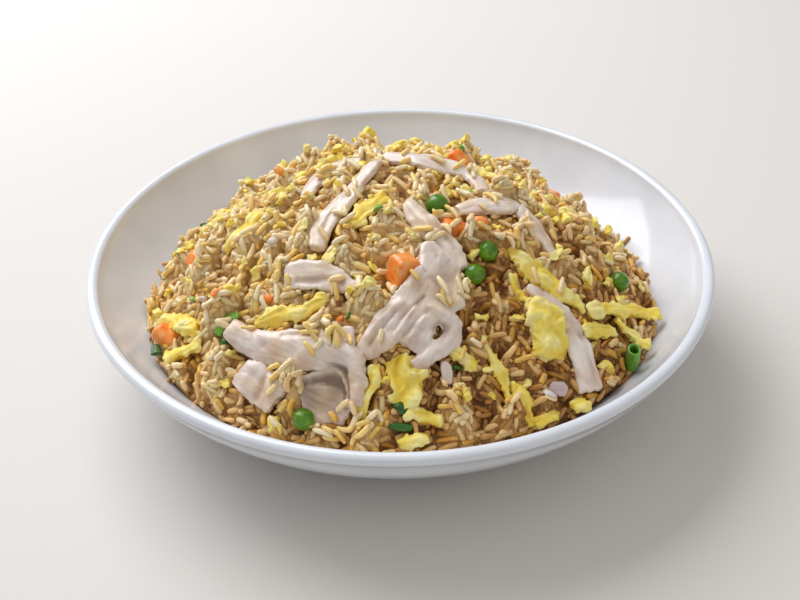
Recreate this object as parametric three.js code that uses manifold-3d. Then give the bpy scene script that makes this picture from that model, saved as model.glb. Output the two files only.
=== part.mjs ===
// A plate of fried rice: a heaped mound of rice in a white coupe plate with a rolled lip,
// topped with sliced chicken, scrambled egg, peas, diced carrot, scallion and onion.
// Millimetres, +Z up. The origin is at the centre of the foot ring's base, on the table.
import * as THREE from "three";
import { mergeVertices } from "three/addons/utils/BufferGeometryUtils.js";
import Module from "manifold-3d";

const wasm = await Module();
wasm.setup();

const { sin, cos, asin, sqrt, hypot, exp, PI, max, min, abs, sign, floor, atan2 } = Math;

// ---------- driving dimensions ----------
const PLATE = {
  rimRadius: 120, // outermost point of the lip
  height: 46,
  thickness: 5, // of the wall and the base
  flatRadius: 56, // inside, where the wall starts to curve up
  lipWidth: 4.8,
  lipHeight: 4.2,
  lipTurn: PI + 0.9, // how far the lip rolls over, in radians
  undercut: 2.7, // how far the lip overhangs the outer wall
  footRadius: 62,
  footWidth: 4,
  footHeight: 4,
  segments: 48,
  wallSteps: 6,
  lipSteps: 4,
  outerSteps: 4,
};
const RICE = {
  edgeRadius: 97.2, // where the mound meets the wall
  edgeBulge: 4.5, // how much further it reaches left and right, most towards -Y
  edgeSway: 1.2, // how far the edge wanders in and out
  dents: [
    { depth: 6, heading: 20, width: 26 }, // degrees; the mound draws back from the wall here
    { depth: 4, heading: 170, width: 18 },
  ],
  edgeStep: 2.4, // thickness of the mound at its edge, one grain
  peak: 75, // height of the mound's top above the table
  peakShift: -5, // the top leans towards -Y
  swell: 1.3, // long, low undulation of the mound
  bump: 1.3, // height of one grain-sized bump
  rings: 18,
  crumbs: 21, // egg, carrot and scallion crumbs fused to the mound
  crumbSize: [1.6, 2.8],
  crumbMargin: 8, // from the mound's edge
  bedRings: [1, 0.72, 0.42, 0.18], // of the hidden underside, as shares of the edge
};
const GAP = 0.6; // between the mound and the plate
const FIT = 0.3; // between the mound and each topping

// ---------- helpers ----------
function seeded(seed) {
  let state = seed >>> 0;
  return () => {
    state = (state + 0x6d2b79f5) >>> 0;
    let t = Math.imul(state ^ (state >>> 15), 1 | state);
    t = (t + Math.imul(t ^ (t >>> 7), 61 | t)) ^ t;
    return ((t ^ (t >>> 14)) >>> 0) / 4294967296;
  };
}

function solid(geometry) {
  const bare = geometry.clone();
  bare.deleteAttribute("normal");
  bare.deleteAttribute("uv");
  const merged = mergeVertices(bare, 1e-4);
  return new wasm.Manifold(
    new wasm.Mesh({
      numProp: 3,
      vertProperties: new Float32Array(merged.attributes.position.array),
      triVerts: new Uint32Array(merged.index.array),
    }),
  );
}

// The geometry of a solid's largest body; loose scraps left by a cut are dropped.
function geometryOf(manifold) {
  const whole = manifold.decompose().reduce((a, b) => (b.volume() > a.volume() ? b : a));
  const mesh = whole.getMesh();
  const geometry = new THREE.BufferGeometry();
  geometry.setAttribute("position", new THREE.BufferAttribute(mesh.vertProperties, 3));
  geometry.setIndex(new THREE.BufferAttribute(mesh.triVerts, 1));
  geometry.computeVertexNormals();
  return geometry;
}

function indexed(points, triangles) {
  const geometry = new THREE.BufferGeometry();
  const position = points.flatMap((p) => [p.x, p.y, p.z]);
  geometry.setAttribute("position", new THREE.Float32BufferAttribute(position, 3));
  geometry.setIndex(triangles);
  return geometry;
}

const join = (parts) => parts.reduce((a, b) => a.add(b));

// ---------- the plate ----------
const WALL_RUN = PLATE.rimRadius - PLATE.lipWidth - PLATE.flatRadius;
const FLOOR = PLATE.footHeight + PLATE.thickness;
const WALL_RISE = PLATE.height - PLATE.lipHeight / 2 - FLOOR;
const WALL_RADIUS = (WALL_RUN ** 2 + WALL_RISE ** 2) / (2 * WALL_RISE);

// Height of the plate's inner surface at a distance from its axis.
function plateSurface(radius) {
  const run = max(0, radius - PLATE.flatRadius);
  return FLOOR + WALL_RADIUS - sqrt(max(0, WALL_RADIUS ** 2 - run ** 2));
}

function plateProfile() {
  const { flatRadius, rimRadius, height, lipWidth, lipHeight, footRadius, footHeight } = PLATE;
  const profile = [[0, FLOOR]];
  for (let i = 0; i <= PLATE.wallSteps; i++) {
    const radius = flatRadius + (WALL_RUN * i) / PLATE.wallSteps;
    profile.push([radius, plateSurface(radius)]);
  }
  for (let i = 1; i <= PLATE.lipSteps; i++) {
    const a = PI - (i / PLATE.lipSteps) * PLATE.lipTurn;
    profile.push([rimRadius + (lipWidth / 2) * (cos(a) - 1), height + (lipHeight / 2) * (sin(a) - 1)]);
  }
  const outerRadius = WALL_RADIUS + PLATE.thickness;
  const steepest = asin((rimRadius - PLATE.undercut - flatRadius) / outerRadius);
  for (let i = 0; i < PLATE.outerSteps; i++) {
    const a = steepest * (1 - i / PLATE.outerSteps);
    profile.push([flatRadius + outerRadius * sin(a), FLOOR + WALL_RADIUS - outerRadius * cos(a)]);
  }
  const footInner = footRadius - PLATE.footWidth;
  profile.push([footRadius, footHeight], [footRadius, 0]);
  profile.push([footInner, 0], [footInner, footHeight], [0, footHeight]);
  return profile.map(([radius, z]) => new THREE.Vector2(radius, z));
}

function plateSolid() {
  const lathe = new THREE.LatheGeometry(plateProfile().reverse(), PLATE.segments);
  return solid(lathe.rotateX(PI / 2));
}

// ---------- the mound's form ----------
function edgeRadius(angle) {
  const bulge = 0.6 * cos(angle) ** 2 * (1 - sin(angle));
  const sway = 0.6 * sin(3 * angle + 1) + 0.4 * sin(7 * angle);
  const dent = RICE.dents.reduce((sum, { depth, heading, width }) => {
    const away = angle - (heading * PI) / 180;
    const turn = (atan2(sin(away), cos(away)) * 180) / PI;
    return sum + depth * exp(-((turn / width) ** 2));
  }, 0);
  return RICE.edgeRadius + RICE.edgeBulge * bulge + RICE.edgeSway * sway - dent;
}

// Height of the bare mound at (x, y), on which the toppings lie.
function moundHeight(x, y) {
  const edge = edgeRadius(atan2(y, x));
  const share = min(1, hypot(x, y) / edge);
  const shifted = hypot(x, y - RICE.peakShift * (1 - share)) / edge;
  const foot = plateSurface(edge) + GAP + RICE.edgeStep;
  const swell = sin(x / 9 + 2) * cos(y / 11) + 0.7 * sin((x + y) / 14);
  const dome = foot + (RICE.peak - foot) * (1 - min(1, shifted) ** 2);
  return dome + RICE.swell * swell * min(1, 4 * (1 - share));
}

function moundNormal(x, y) {
  const step = 1.5;
  const dx = moundHeight(x + step, y) - moundHeight(x - step, y);
  const dy = moundHeight(x, y + step) - moundHeight(x, y - step);
  return new THREE.Vector3(-dx, -dy, 2 * step).normalize();
}

const onMound = (x, y, lift) => new THREE.Vector3(x, y, moundHeight(x, y) + lift);

// ---------- kinds of topping ----------
// A sliced or curdled piece: a flat section swept along a path that lies on the mound.
// path holds [x, y, lift above the mound]; widths are spread evenly along it; roll, in
// degrees, tilts the section about the path; grow widens it all round, for a cutter.
function strip({ path, widths, thick, roll = [0], sides = 6, steps = 6, sway = 0.08, seed = 1 }, grow) {
  const random = seeded(seed);
  const line = new THREE.CatmullRomCurve3(path.map(([x, y, lift]) => onMound(x, y, lift)));
  const along = (list, t) => {
    const at = t * (list.length - 1);
    const i = min(list.length - 2, floor(at));
    return list.length === 1 ? list[0] : list[i] + (list[i + 1] - list[i]) * (at - i);
  };
  const points = [];
  for (let s = 0; s < steps; s++) {
    const t = s / (steps - 1);
    const centre = line.getPointAt(t);
    const tangent = line.getTangentAt(t);
    const across = moundNormal(centre.x, centre.y).cross(tangent).normalize();
    across.applyAxisAngle(tangent, (along(roll, t) * PI) / 180);
    const up = tangent.clone().cross(across).normalize();
    const reach = (t < 0.5 ? -1 : 1) * (s % (steps - 1) === 0 ? grow : 0);
    centre.addScaledVector(tangent, reach);
    const half = (along(widths, t) / 2) * (1 + sway * (random() - 0.5) * 2) + grow;
    const thin = (thick / 2) * (1 + sway * (random() - 0.5) * 2) + grow;
    for (let i = 0; i < sides; i++) {
      const a = (2 * PI * (i + 0.5)) / sides;
      const wide = sign(cos(a)) * abs(cos(a)) ** 0.6 * half;
      const high = sign(sin(a)) * abs(sin(a)) ** 0.8 * thin;
      points.push(centre.clone().addScaledVector(across, wide).addScaledVector(up, high));
    }
  }
  const triangles = [];
  const at = (s, i) => s * sides + (i % sides);
  for (let s = 0; s + 1 < steps; s++)
    for (let i = 0; i < sides; i++) {
      triangles.push(at(s, i), at(s, i + 1), at(s + 1, i));
      triangles.push(at(s, i + 1), at(s + 1, i + 1), at(s + 1, i));
    }
  for (let i = 1; i + 1 < sides; i++) {
    triangles.push(at(0, 0), at(0, i + 1), at(0, i));
    triangles.push(at(steps - 1, 0), at(steps - 1, i), at(steps - 1, i + 1));
  }
  const made = solid(indexed(points, triangles));
  return made.volume() < 0 ? solid(indexed(points, triangles.reverse())) : made;
}

// Sets a ready-made geometry on the mound: its local +Z leans lean degrees from upright
// towards the heading turn.
function set(geometry, { at: [x, y, lift], turn = 0, lean = 0 }) {
  const spin = new THREE.Quaternion().setFromEuler(
    new THREE.Euler(0, (lean * PI) / 180, (turn * PI) / 180, "ZYX"),
  );
  const place = onMound(x, y, lift);
  return solid(geometry.applyQuaternion(spin).translate(place.x, place.y, place.z));
}

function pea({ radius, ...place }, grow) {
  const ball = new THREE.IcosahedronGeometry(radius + grow, 1).scale(1, 1.04, 0.94);
  return set(ball, place);
}

function dice({ size: [length, width, height], ...place }, grow) {
  const bevel = 0.14 * min(length, width, height);
  const outline = new THREE.Shape();
  const [a, b] = [length / 2 - bevel + grow, width / 2 - bevel + grow];
  outline.moveTo(-a, -b).lineTo(a, -b).lineTo(a, b).lineTo(-a, b).closePath();
  const depth = height - 2 * bevel + 2 * grow;
  const options = { depth, bevelEnabled: true, bevelSize: bevel, bevelThickness: bevel, bevelSegments: 1 };
  return set(new THREE.ExtrudeGeometry(outline, options).translate(0, 0, -depth / 2), place);
}

function tube({ radius, wall, length, flat = 0.8, ...place }, grow) {
  const [outer, inner, half] = [radius + grow, radius - wall, length / 2 + grow];
  const profile = [
    [inner, -half],
    [outer, -half],
    [outer, half],
    [inner, half],
    [inner, -half],
  ].map(([r, h]) => new THREE.Vector2(r, h));
  const ring = new THREE.LatheGeometry(profile, 10).scale(1, 1, flat).rotateX(PI / 2);
  return set(ring, place);
}

const make = { strip, pea, dice, tube };
const build = (piece, grow) =>
  join((piece.parts ?? [piece]).map((spec) => make[piece.kind ?? "strip"](spec, grow)));

// ---------- the toppings ----------
const CHICKEN = {
  // a wide slice whose upper and right edges fold over a hanging sheet
  chicken_fold: {
    parts: [
      {
        path: [
          [-59, -55.5, 3.2],
          [-52, -62, 2],
          [-42, -66.5, 2.4],
          [-31, -69, 3.6],
          [-21, -73.5, 4.4],
          [-15.5, -79, 4],
          [-16, -87, 2.6],
        ],
        widths: [7.5, 9, 13.5, 15, 12, 9, 6],
        thick: 4.6,
        roll: [0, 8, 10, 12, 10, 0, -20],
        sides: 8,
        steps: 10,
      },
      {
        path: [[-26, -75, 1], [-25, -82, -0.2], [-25.5, -88, -0.8]],
        widths: [20, 20, 14],
        thick: 2.6,
        steps: 4,
      },
    ],
  },
  chicken_square: {
    path: [[-55, -69, 1.6], [-48, -75, 2.2], [-42, -80, 1.4]],
    widths: [11, 14, 12],
    thick: 4,
    sides: 8,
  },
  // the largest piece, on top of the rest: a broad lobe, a leg to the left, a sheet between
  // them and a frayed loop that closes round a hole
  chicken_torn: {
    parts: [
      {
        path: [
          [10, -39, 4.2],
          [12, -46, 4],
          [15, -53, 3.6],
          [8, -59, 3.4],
          [0, -65, 3],
          [-6, -70, 2.6],
          [-13, -74, 2],
        ],
        widths: [5, 14, 23, 19, 13, 13, 6],
        thick: 3.2,
        roll: [10, 0, -8, 0, 8, 0],
        steps: 10,
      },
      { path: [[8, -62, 2.8], [5, -68, 2.6], [1, -73, 2.2]], widths: [12, 16, 12], thick: 2.8, steps: 4 },
      {
        path: [[9, -63, 3.2], [15, -63, 3.2], [18, -66, 2.8], [16, -70, 2.4], [10, -74, 2], [4, -78, 1.4]],
        widths: [8, 9, 9, 7.5, 7, 4.5],
        thick: 2.8,
        steps: 7,
      },
    ],
  },
  chicken_strip_left: {
    path: [[-9, 7, 2.6], [-15, -5, 2.2], [-21, -16, 1.8], [-27, -27, 1.6], [-29, -37, 1]],
    widths: [9.5, 8.5, 9.5, 8, 6],
    thick: 3.4,
    roll: [20, 10, -12],
    steps: 8,
  },
  chicken_back_left: {
    path: [[-14, 13, 2], [-20, 14, 2.8], [-27, 13, 2.8], [-32, 7, 2.2], [-35, -1, 1.4]],
    widths: [6, 8, 9, 8, 5],
    thick: 3,
  },
  chicken_crest: {
    path: [[-6, 16, 1.6], [8, 10, 2.2], [22, 9, 2.4], [29, 5, 2.4], [31, -6, 1.4]],
    widths: [6, 8, 8, 8, 5],
    thick: 3,
    roll: [15, 20, 0],
    steps: 8,
  },
  chicken_right_top: {
    path: [[21, -21, 1.2], [29, -18, 2.2], [37, -15, 2.4], [44, -10, 1.8]],
    widths: [4, 9, 10, 6],
    thick: 3,
  },
  chicken_strip_right: {
    path: [[43, -12, 2.2], [49, -19, 2.2], [56, -30, 1.2]],
    widths: [6, 8, 4.5],
    thick: 3,
    roll: [15, -10],
  },
  chicken_strip_mid: {
    path: [[3, -18, 1.6], [7, -26, 2.4], [13, -34, 2.4], [18, -40, 2.2], [22, -45, 1.4]],
    widths: [5, 8.5, 9.5, 9, 5],
    thick: 3.4,
    roll: [10, 20, 0],
  },
  chicken_flat_left: {
    path: [[-40, -44, 1.4], [-33, -46, 2], [-24, -49, 2.2], [-17, -53, 1.8], [-11, -55, 1.2]],
    widths: [9, 11.5, 10, 6, 2.5],
    thick: 2.8,
    roll: [0, 10],
  },
  chicken_long_right: {
    path: [[44, -46, 0.8], [54, -50, 1.4], [61, -60, 2], [65, -72, 1.6]],
    widths: [4, 7, 9.5, 10],
    thick: 2.8,
    roll: [0, 10, 5],
    steps: 7,
  },
  chicken_chip: { path: [[-18, -65, 1.4], [-18, -71, 1.8]], widths: [5, 5.5], thick: 2.4, steps: 4 },
  chicken_far_a: {
    path: [[-34, 74, 1.2], [-22, 79, 1.8], [-8, 80, 1.2]],
    widths: [7, 11, 6],
    thick: 3,
    roll: [-10, 15],
  },
  chicken_far_b: {
    path: [[49, 69, 1], [41, 77, 1.4], [31, 82, 1]],
    widths: [8, 10, 6],
    thick: 3,
    roll: [10, -10],
  },
};

const EGG = {
  egg_ribbon_top: {
    path: [[39, -34, 1.6], [45, -39, 2.4], [53, -43, 2.4], [59, -46, 2.2], [64, -48, 2]],
    widths: [3.5, 8, 7.5, 6, 4],
    thick: 2.2,
    roll: [20, -10],
  },
  egg_ribbon_long: {
    path: [[66, -48, 2.2], [73, -44, 2.6], [81, -39, 2.8], [89, -33, 3.2], [97, -30, 4.7]],
    widths: [4, 6, 6, 7, 5],
    thick: 2.4,
    roll: [10, -15, 10],
    steps: 8,
  },
  egg_ribbon_low: {
    path: [[76, -46, 1.8], [82, -47, 2.6], [86, -49, 3.4], [89.5, -50, 4.4]],
    widths: [3, 5.5, 5, 3.5],
    thick: 2.2,
  },
  egg_lump: {
    parts: [
      { path: [[47, -52, 2.8], [51, -59, 3.4], [51, -67, 2]], widths: [8, 13, 10], thick: 4 },
      { path: [[40, -44, 1.6], [42, -50, 2], [48, -53, 3]], widths: [2.5, 3, 4], thick: 2 },
    ],
  },
  egg_under: { path: [[63, -54, 1.4], [68, -53, 1.8], [75, -50, 1.4]], widths: [7, 7, 3], thick: 2 },
  egg_ball: { path: [[67, -3, 1.6], [66, 2, 2.4], [65, 7, 1.6]], widths: [5, 7.5, 5], thick: 6 },
  egg_upright: { path: [[70, -27, 1.2], [67, -36, 1.4]], widths: [4.5, 4], thick: 2.4 },
  egg_hook: {
    path: [[-17, -26, 1.2], [-13, -21, 1.8], [-4, -14, 1.6]],
    widths: [6, 5, 4.5],
    thick: 2.8,
    roll: [0, 25],
  },
  egg_left_a: { path: [[-53, -5, 1.6], [-56, -12, 2], [-64, -17, 1.4]], widths: [6, 8, 5], thick: 3 },
  egg_left_b: { path: [[-80, 23, 1.4], [-76, 18, 1.8], [-71, 27, 1.4]], widths: [4, 6, 4], thick: 3 },
  egg_clump_a: { path: [[-88, -32, 1.6], [-80, -40, 2], [-72, -47, 1.6]], widths: [5, 7, 6], thick: 3.4 },
  egg_clump_b: { path: [[-72, -54, 1.6], [-78, -53, 2], [-85, -50, 1.6]], widths: [5, 5.5, 5], thick: 3.2 },
  egg_curl: {
    path: [[-50, -55, 1], [-41, -56, 1.8], [-32, -57, 1.8], [-27, -54, 1.8]],
    widths: [5, 5.5, 5, 3.5],
    thick: 2.8,
    roll: [0, 15, 0],
    steps: 6,
  },
  egg_torn: {
    path: [[-4, -76, 1.6], [1, -80, 2.4], [2, -84, 2.4], [0, -87, 1.6]],
    widths: [6, 13, 14, 7],
    thick: 2.4,
  },
  egg_tail: {
    path: [[-8.5, -78, 2.2], [-10, -82, 2.4], [-12, -86, 2.2], [-14.5, -90, 1.4]],
    widths: [3.5, 4.5, 5, 3.5],
    thick: 2.2,
  },
  egg_wedge: { path: [[17, -72, 1], [25, -74, 1.4]], widths: [3, 5], thick: 2, steps: 4 },
  egg_thread: { path: [[28, -64, 1], [32, -73, 1.6], [36, -83, 1]], widths: [3, 5.5, 1.8], thick: 2 },
  egg_stem: { path: [[37, -77, 1], [42, -80, 1.6], [43, -87, 1.8]], widths: [2.5, 5, 3], thick: 2 },
  egg_flat: { path: [[58, -79, 2.4], [63, -76, 2.8]], widths: [5, 6], thick: 2.4, steps: 4 },
  egg_fringe: { path: [[44, -86, 1.8], [53, -82, 2]], widths: [3.5, 4.5], thick: 2.4, steps: 4 },
  egg_low: { path: [[2, -88, 1], [12, -91, 1.2]], widths: [4, 4], thick: 2.4, steps: 4 },
  egg_front: { path: [[-2, -95, 1.2], [8, -95, 1.4]], widths: [4, 4.5], thick: 2.4, steps: 4 },
  egg_crest: { path: [[34, 16, 1.4], [40, 11, 1.8], [45, 2, 1.2]], widths: [4, 5, 4], thick: 2.6 },
  egg_far: { path: [[-62, 58, 1.2], [-58, 67, 1.6], [-50, 74, 1.2]], widths: [5, 9, 5], thick: 3 },
};

const PEAS = {
  pea_top: { at: [14, -19, 2.2], radius: 4.1 },
  pea_mid: { at: [31, -37, 1.2], radius: 3.9 },
  pea_hero: { at: [26, -46, 1.2], radius: 3.9 },
  pea_right: { at: [82, -23, 2], radius: 4 },
  pea_front: { at: [-33, -87, 1.8], radius: 4 },
  pea_back_right: { at: [73, 8, 1], radius: 3.7 },
  pea_far: { at: [4, 87, 1.2], radius: 4 },
};

const CARROT = {
  carrot_mid: { at: [1, -49, 2.4], size: [8, 8, 11], turn: 30, lean: 14 },
  carrot_left: { at: [-77, -9, 1.4], size: [7, 6.5, 7], turn: 20, lean: 30 },
  carrot_corner: { at: [-86, -41, 1.6], size: [9, 6, 6], turn: -30, lean: 20 },
  carrot_crest: { at: [24, 21, 2], size: [8, 5.5, 5], turn: -35, lean: 35 },
  carrot_deep: { at: [19, -29, 0.2], size: [8, 5.5, 6], turn: 10, lean: 20 },
  carrot_far: { at: [66, 58, 0.8], size: [7.5, 7, 6], turn: 50, lean: 25 },
};

const SCALLION = {
  scallion_tube: { kind: "tube", at: [82, -57, 4.6], radius: 3, wall: 1, length: 9.5, turn: -90, lean: 12 },
  scallion_far: { kind: "tube", at: [19, 85, 1], radius: 2.9, wall: 1, length: 8, turn: 40, lean: 80 },
  scallion_left: { path: [[-90, -42, 2.8], [-89, -48, 3.2]], widths: [4.5, 4.5], thick: 1.8, steps: 4 },
  scallion_light: {
    path: [[-65, -53, 1.2], [-62, -50, 1.8], [-57, -49, 1.4]],
    widths: [5, 5, 3.5],
    thick: 1.6,
  },
  scallion_front: {
    path: [[-5, -91, 0.6], [-1, -92, 1.2], [3, -92, 0.8]],
    widths: [2, 3.6, 2],
    thick: 1.6,
    steps: 4,
  },
};

const ONION = {
  onion_right: {
    path: [[50, -76, 1.2], [53, -75, 2.2], [56, -75, 1.6]],
    widths: [3, 6.5, 4],
    thick: 2.2,
    steps: 4,
  },
  onion_front: {
    path: [[14, -75, 1], [15, -78, 1.8], [15, -81, 1.2]],
    widths: [2.5, 5, 3],
    thick: 2,
    steps: 4,
  },
};

const withDefaults = (table, defaults) =>
  Object.entries(table).map(([name, piece], i) => {
    const fill = (spec) => ({ ...defaults, seed: 11 + i, ...spec });
    return [name, piece.parts ? { parts: piece.parts.map(fill) } : fill(piece)];
  });

// ---------- the rice ----------
// Rings of points from the rim inwards or outwards, zipped into one skin.
function zip(ringA, ringB, triangles) {
  let [i, j] = [0, 0];
  const [n, m] = [ringA.length, ringB.length];
  while (i < n || j < m) {
    const [a, b] = [ringA[i % n], ringB[j % m]];
    if (j >= m || (i < n && (i + 1) / n <= (j + 1) / m)) triangles.push(a, ringA[(i++ + 1) % n], b);
    else triangles.push(a, ringB[(j++ + 1) % m], b);
  }
}

function moundSolid() {
  const random = seeded(7);
  const points = [];
  const triangles = [];
  const ring = (count, share, height) =>
    Array.from({ length: count }, (_, i) => {
      const angle = (2 * PI * i) / count;
      const radius = share * edgeRadius(angle);
      const [x, y] = [radius * cos(angle), radius * sin(angle)];
      points.push(new THREE.Vector3(x, y, height(x, y, radius)));
      return points.length - 1;
    });
  const bumpy = (x, y) => moundHeight(x, y) + RICE.bump * (2 * random() - 1);
  const bed = (x, y, radius) => plateSurface(radius) + GAP;
  points.push(new THREE.Vector3(0, 0, moundHeight(0, 0)));
  let inner = [0];
  for (let k = 1; k <= RICE.rings; k++) {
    const outer = ring(6 * k, k / RICE.rings, k < RICE.rings ? bumpy : moundHeight);
    zip(inner, outer, triangles);
    inner = outer;
  }
  RICE.bedRings.forEach((share, i) => {
    const next = ring(max(12, (6 * RICE.rings) >> i), share, bed);
    zip(inner, next, triangles);
    inner = next;
  });
  points.push(new THREE.Vector3(0, 0, FLOOR + GAP));
  zip(inner, [points.length - 1], triangles);
  const made = solid(indexed(points, triangles));
  return made.volume() < 0 ? solid(indexed(points, triangles.reverse())) : made;
}

// Crumbs of the toppings, too small to lift off, spread evenly over the mound.
function crumbSolid() {
  const random = seeded(23);
  const golden = PI * (3 - sqrt(5));
  const [least, most] = RICE.crumbSize;
  const crumbs = Array.from({ length: RICE.crumbs }, (_, i) => {
    const radius = (RICE.edgeRadius - RICE.crumbMargin) * sqrt((i + 0.5) / RICE.crumbs);
    const angle = i * golden + 0.3 * random();
    const size = least + (most - least) * random();
    const crumb = new THREE.OctahedronGeometry(size, 0).scale(1.3, 1, 0.8);
    const at = [radius * cos(angle), radius * sin(angle), 0.6];
    return set(crumb, { at, turn: 360 * random(), lean: 40 * random() });
  });
  return join(crumbs);
}

// ---------- assembly ----------
const finish = (color, roughness) => new THREE.MeshStandardMaterial({ color, roughness, metalness: 0 });
const FINISH = {
  porcelain: finish(0xf2f3f5, 0.15),
  rice: finish(0xc9a468, 0.55),
  chicken: finish(0xd8c4b4, 0.5),
  egg: finish(0xe6c143, 0.5),
  pea: finish(0x4f8f22, 0.3),
  carrot: finish(0xe8732a, 0.4),
  scallion: finish(0x3f7a2c, 0.35),
  onion: finish(0xb59a98, 0.35),
};

const toppings = [
  [withDefaults(CHICKEN, {}), FINISH.chicken],
  [withDefaults(EGG, { steps: 5, sway: 0.2 }), FINISH.egg],
  [withDefaults(PEAS, {}), FINISH.pea, "pea"],
  [withDefaults(CARROT, {}), FINISH.carrot, "dice"],
  [withDefaults(SCALLION, {}), FINISH.scallion],
  [withDefaults(ONION, {}), FINISH.onion],
].flatMap(([pieces, material, kind]) =>
  pieces.map(([name, piece]) => {
    const spec = kind ? { ...piece, kind } : piece;
    return { name, material, solid: build(spec, 0), cutter: build(spec, FIT) };
  }),
);

// A topping gives way to the ones that lie on it, which come earlier in the list.
toppings.forEach((piece, i) => {
  for (const above of toppings.slice(0, i)) piece.solid = piece.solid.subtract(above.cutter);
});

const plate = plateSolid();
const rice = moundSolid()
  .add(crumbSolid())
  .subtract(join(toppings.map((piece) => piece.cutter)));

const model = new THREE.Group();
function addNode(name, manifold, material) {
  const mesh = new THREE.Mesh(geometryOf(manifold), material);
  mesh.name = name;
  model.add(mesh);
}
addNode("plate", plate, FINISH.porcelain);
addNode("rice", rice, FINISH.rice);
for (const { name, material, solid: body } of toppings) addNode(name, body, material);

export default model;
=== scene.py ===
"""A heaped plate of fried rice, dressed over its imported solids.

Every object is in metres. The heap is worked out in millimetres on a square grid seen from
above, because grains are laid on it one by one, and is turned into metres when it is meshed.
"""

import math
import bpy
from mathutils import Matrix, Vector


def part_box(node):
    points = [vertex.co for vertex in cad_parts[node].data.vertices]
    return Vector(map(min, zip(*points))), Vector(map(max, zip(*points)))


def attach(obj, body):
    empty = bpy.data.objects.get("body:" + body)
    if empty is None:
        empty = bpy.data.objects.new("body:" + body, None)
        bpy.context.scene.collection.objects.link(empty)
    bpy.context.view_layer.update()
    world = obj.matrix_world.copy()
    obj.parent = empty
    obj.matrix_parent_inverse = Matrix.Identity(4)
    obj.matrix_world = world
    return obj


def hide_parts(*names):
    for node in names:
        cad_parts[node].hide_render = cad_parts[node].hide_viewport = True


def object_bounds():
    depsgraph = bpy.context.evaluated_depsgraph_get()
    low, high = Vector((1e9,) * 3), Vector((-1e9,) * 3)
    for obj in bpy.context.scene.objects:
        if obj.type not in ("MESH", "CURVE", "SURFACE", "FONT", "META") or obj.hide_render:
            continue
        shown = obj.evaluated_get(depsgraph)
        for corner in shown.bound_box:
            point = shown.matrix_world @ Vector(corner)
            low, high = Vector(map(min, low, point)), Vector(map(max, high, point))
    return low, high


bl_info = {
    "name": "Fried Rice Plate",
    "version": (1, 0, 0),
    "blender": (4, 5, 0),
    "location": "View3D > Sidebar > Fried Rice",
    "description": "Dresses a plate of fried rice: glazed plate, loose grains, toppings and crumbs",
    "category": "Object",
}

from functools import cache

import bmesh
import bpy
import numpy as np
from bpy.props import FloatProperty, FloatVectorProperty, IntProperty, PointerProperty
from mathutils import Matrix, Vector, noise
from mathutils.bvhtree import BVHTree

noise.seed_set(2)  # directions of drift() are then the same each run
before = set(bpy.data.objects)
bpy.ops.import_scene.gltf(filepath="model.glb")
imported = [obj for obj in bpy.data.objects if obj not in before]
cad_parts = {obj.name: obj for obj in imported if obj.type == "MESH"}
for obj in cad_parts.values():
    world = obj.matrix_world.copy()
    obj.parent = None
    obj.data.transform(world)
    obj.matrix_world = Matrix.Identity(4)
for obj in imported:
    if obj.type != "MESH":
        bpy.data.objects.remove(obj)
CAD_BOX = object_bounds()
MM = 0.001
PLATE_LOW, PLATE_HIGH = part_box("plate")

# ---------- form of the plate and the mound, in millimetres ----------
RIM_RADIUS = 120.0
RIM_HEIGHT = 46.0
LIP_WIDTH = 4.8
LIP_HEIGHT = 4.2
FLAT_RADIUS = 56.0
WALL_THICKNESS = 5.0
FOOT_RADIUS = 62.0
FOOT_WIDTH = 4.0
FOOT_HEIGHT = 4.0
FOOT_FILLET = 2.2  # how far outside the foot ring the outer wall starts
LIP_INSET = 2.7  # from the rim to where the outer wall meets the lip
LIP_ROLL = math.pi + 0.9  # radians that the lip turns through
PLATE_FLOOR = FOOT_HEIGHT + WALL_THICKNESS
WALL_RUN = RIM_RADIUS - LIP_WIDTH - FLAT_RADIUS
WALL_RISE = RIM_HEIGHT - LIP_HEIGHT / 2 - PLATE_FLOOR
WALL_RADIUS = (WALL_RUN**2 + WALL_RISE**2) / (2 * WALL_RISE)
EDGE_RADIUS = 97.2  # of the mound
DENTS = [(6.0, 20, 26), (4.0, 170, 18)]  # depth, heading and half width of hollows in its edge
PEAK = 75.0
CREST_AHEAD = 5  # how far its crest lies in front of the middle
EDGE_THICKNESS = 3.0  # of the mound where it ends on the plate


def plate_surface(radius):
    """Height of the plate's inner surface at a distance from its axis."""
    run = np.clip(radius - FLAT_RADIUS, 0, WALL_RUN)
    return PLATE_FLOOR + WALL_RADIUS - np.sqrt(WALL_RADIUS**2 - run**2)


def edge_radius(angle):
    """How far the mound reaches at a heading."""
    # it bulges most at the front left and right, and sways by about a millimetre
    bulge = 0.6 * np.cos(angle) ** 2 * (1 - np.sin(angle))
    sway = 0.6 * np.sin(3 * angle + 1) + 0.4 * np.sin(7 * angle)
    reach = EDGE_RADIUS + 4.5 * bulge + 1.2 * sway
    for depth, heading, width in DENTS:
        away = angle - math.radians(heading)
        turn = np.degrees(np.arctan2(np.sin(away), np.cos(away)))
        reach = reach - depth * np.exp(-((turn / width) ** 2))
    return reach


def mound_height(x, y):
    """Height of the bare mound, on which the toppings lie."""
    edge = edge_radius(np.arctan2(y, x))
    share = np.minimum(1, np.hypot(x, y) / edge)
    shifted = np.minimum(1, np.hypot(x, y + CREST_AHEAD * (1 - share)) / edge)
    foot = plate_surface(edge) + EDGE_THICKNESS
    swell = np.sin(x / 9 + 2) * np.cos(y / 11) + 0.7 * np.sin((x + y) / 14)
    return foot + (PEAK - foot) * (1 - shifted**2) + 1.3 * swell * np.minimum(1, 4 * (1 - share))


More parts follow.
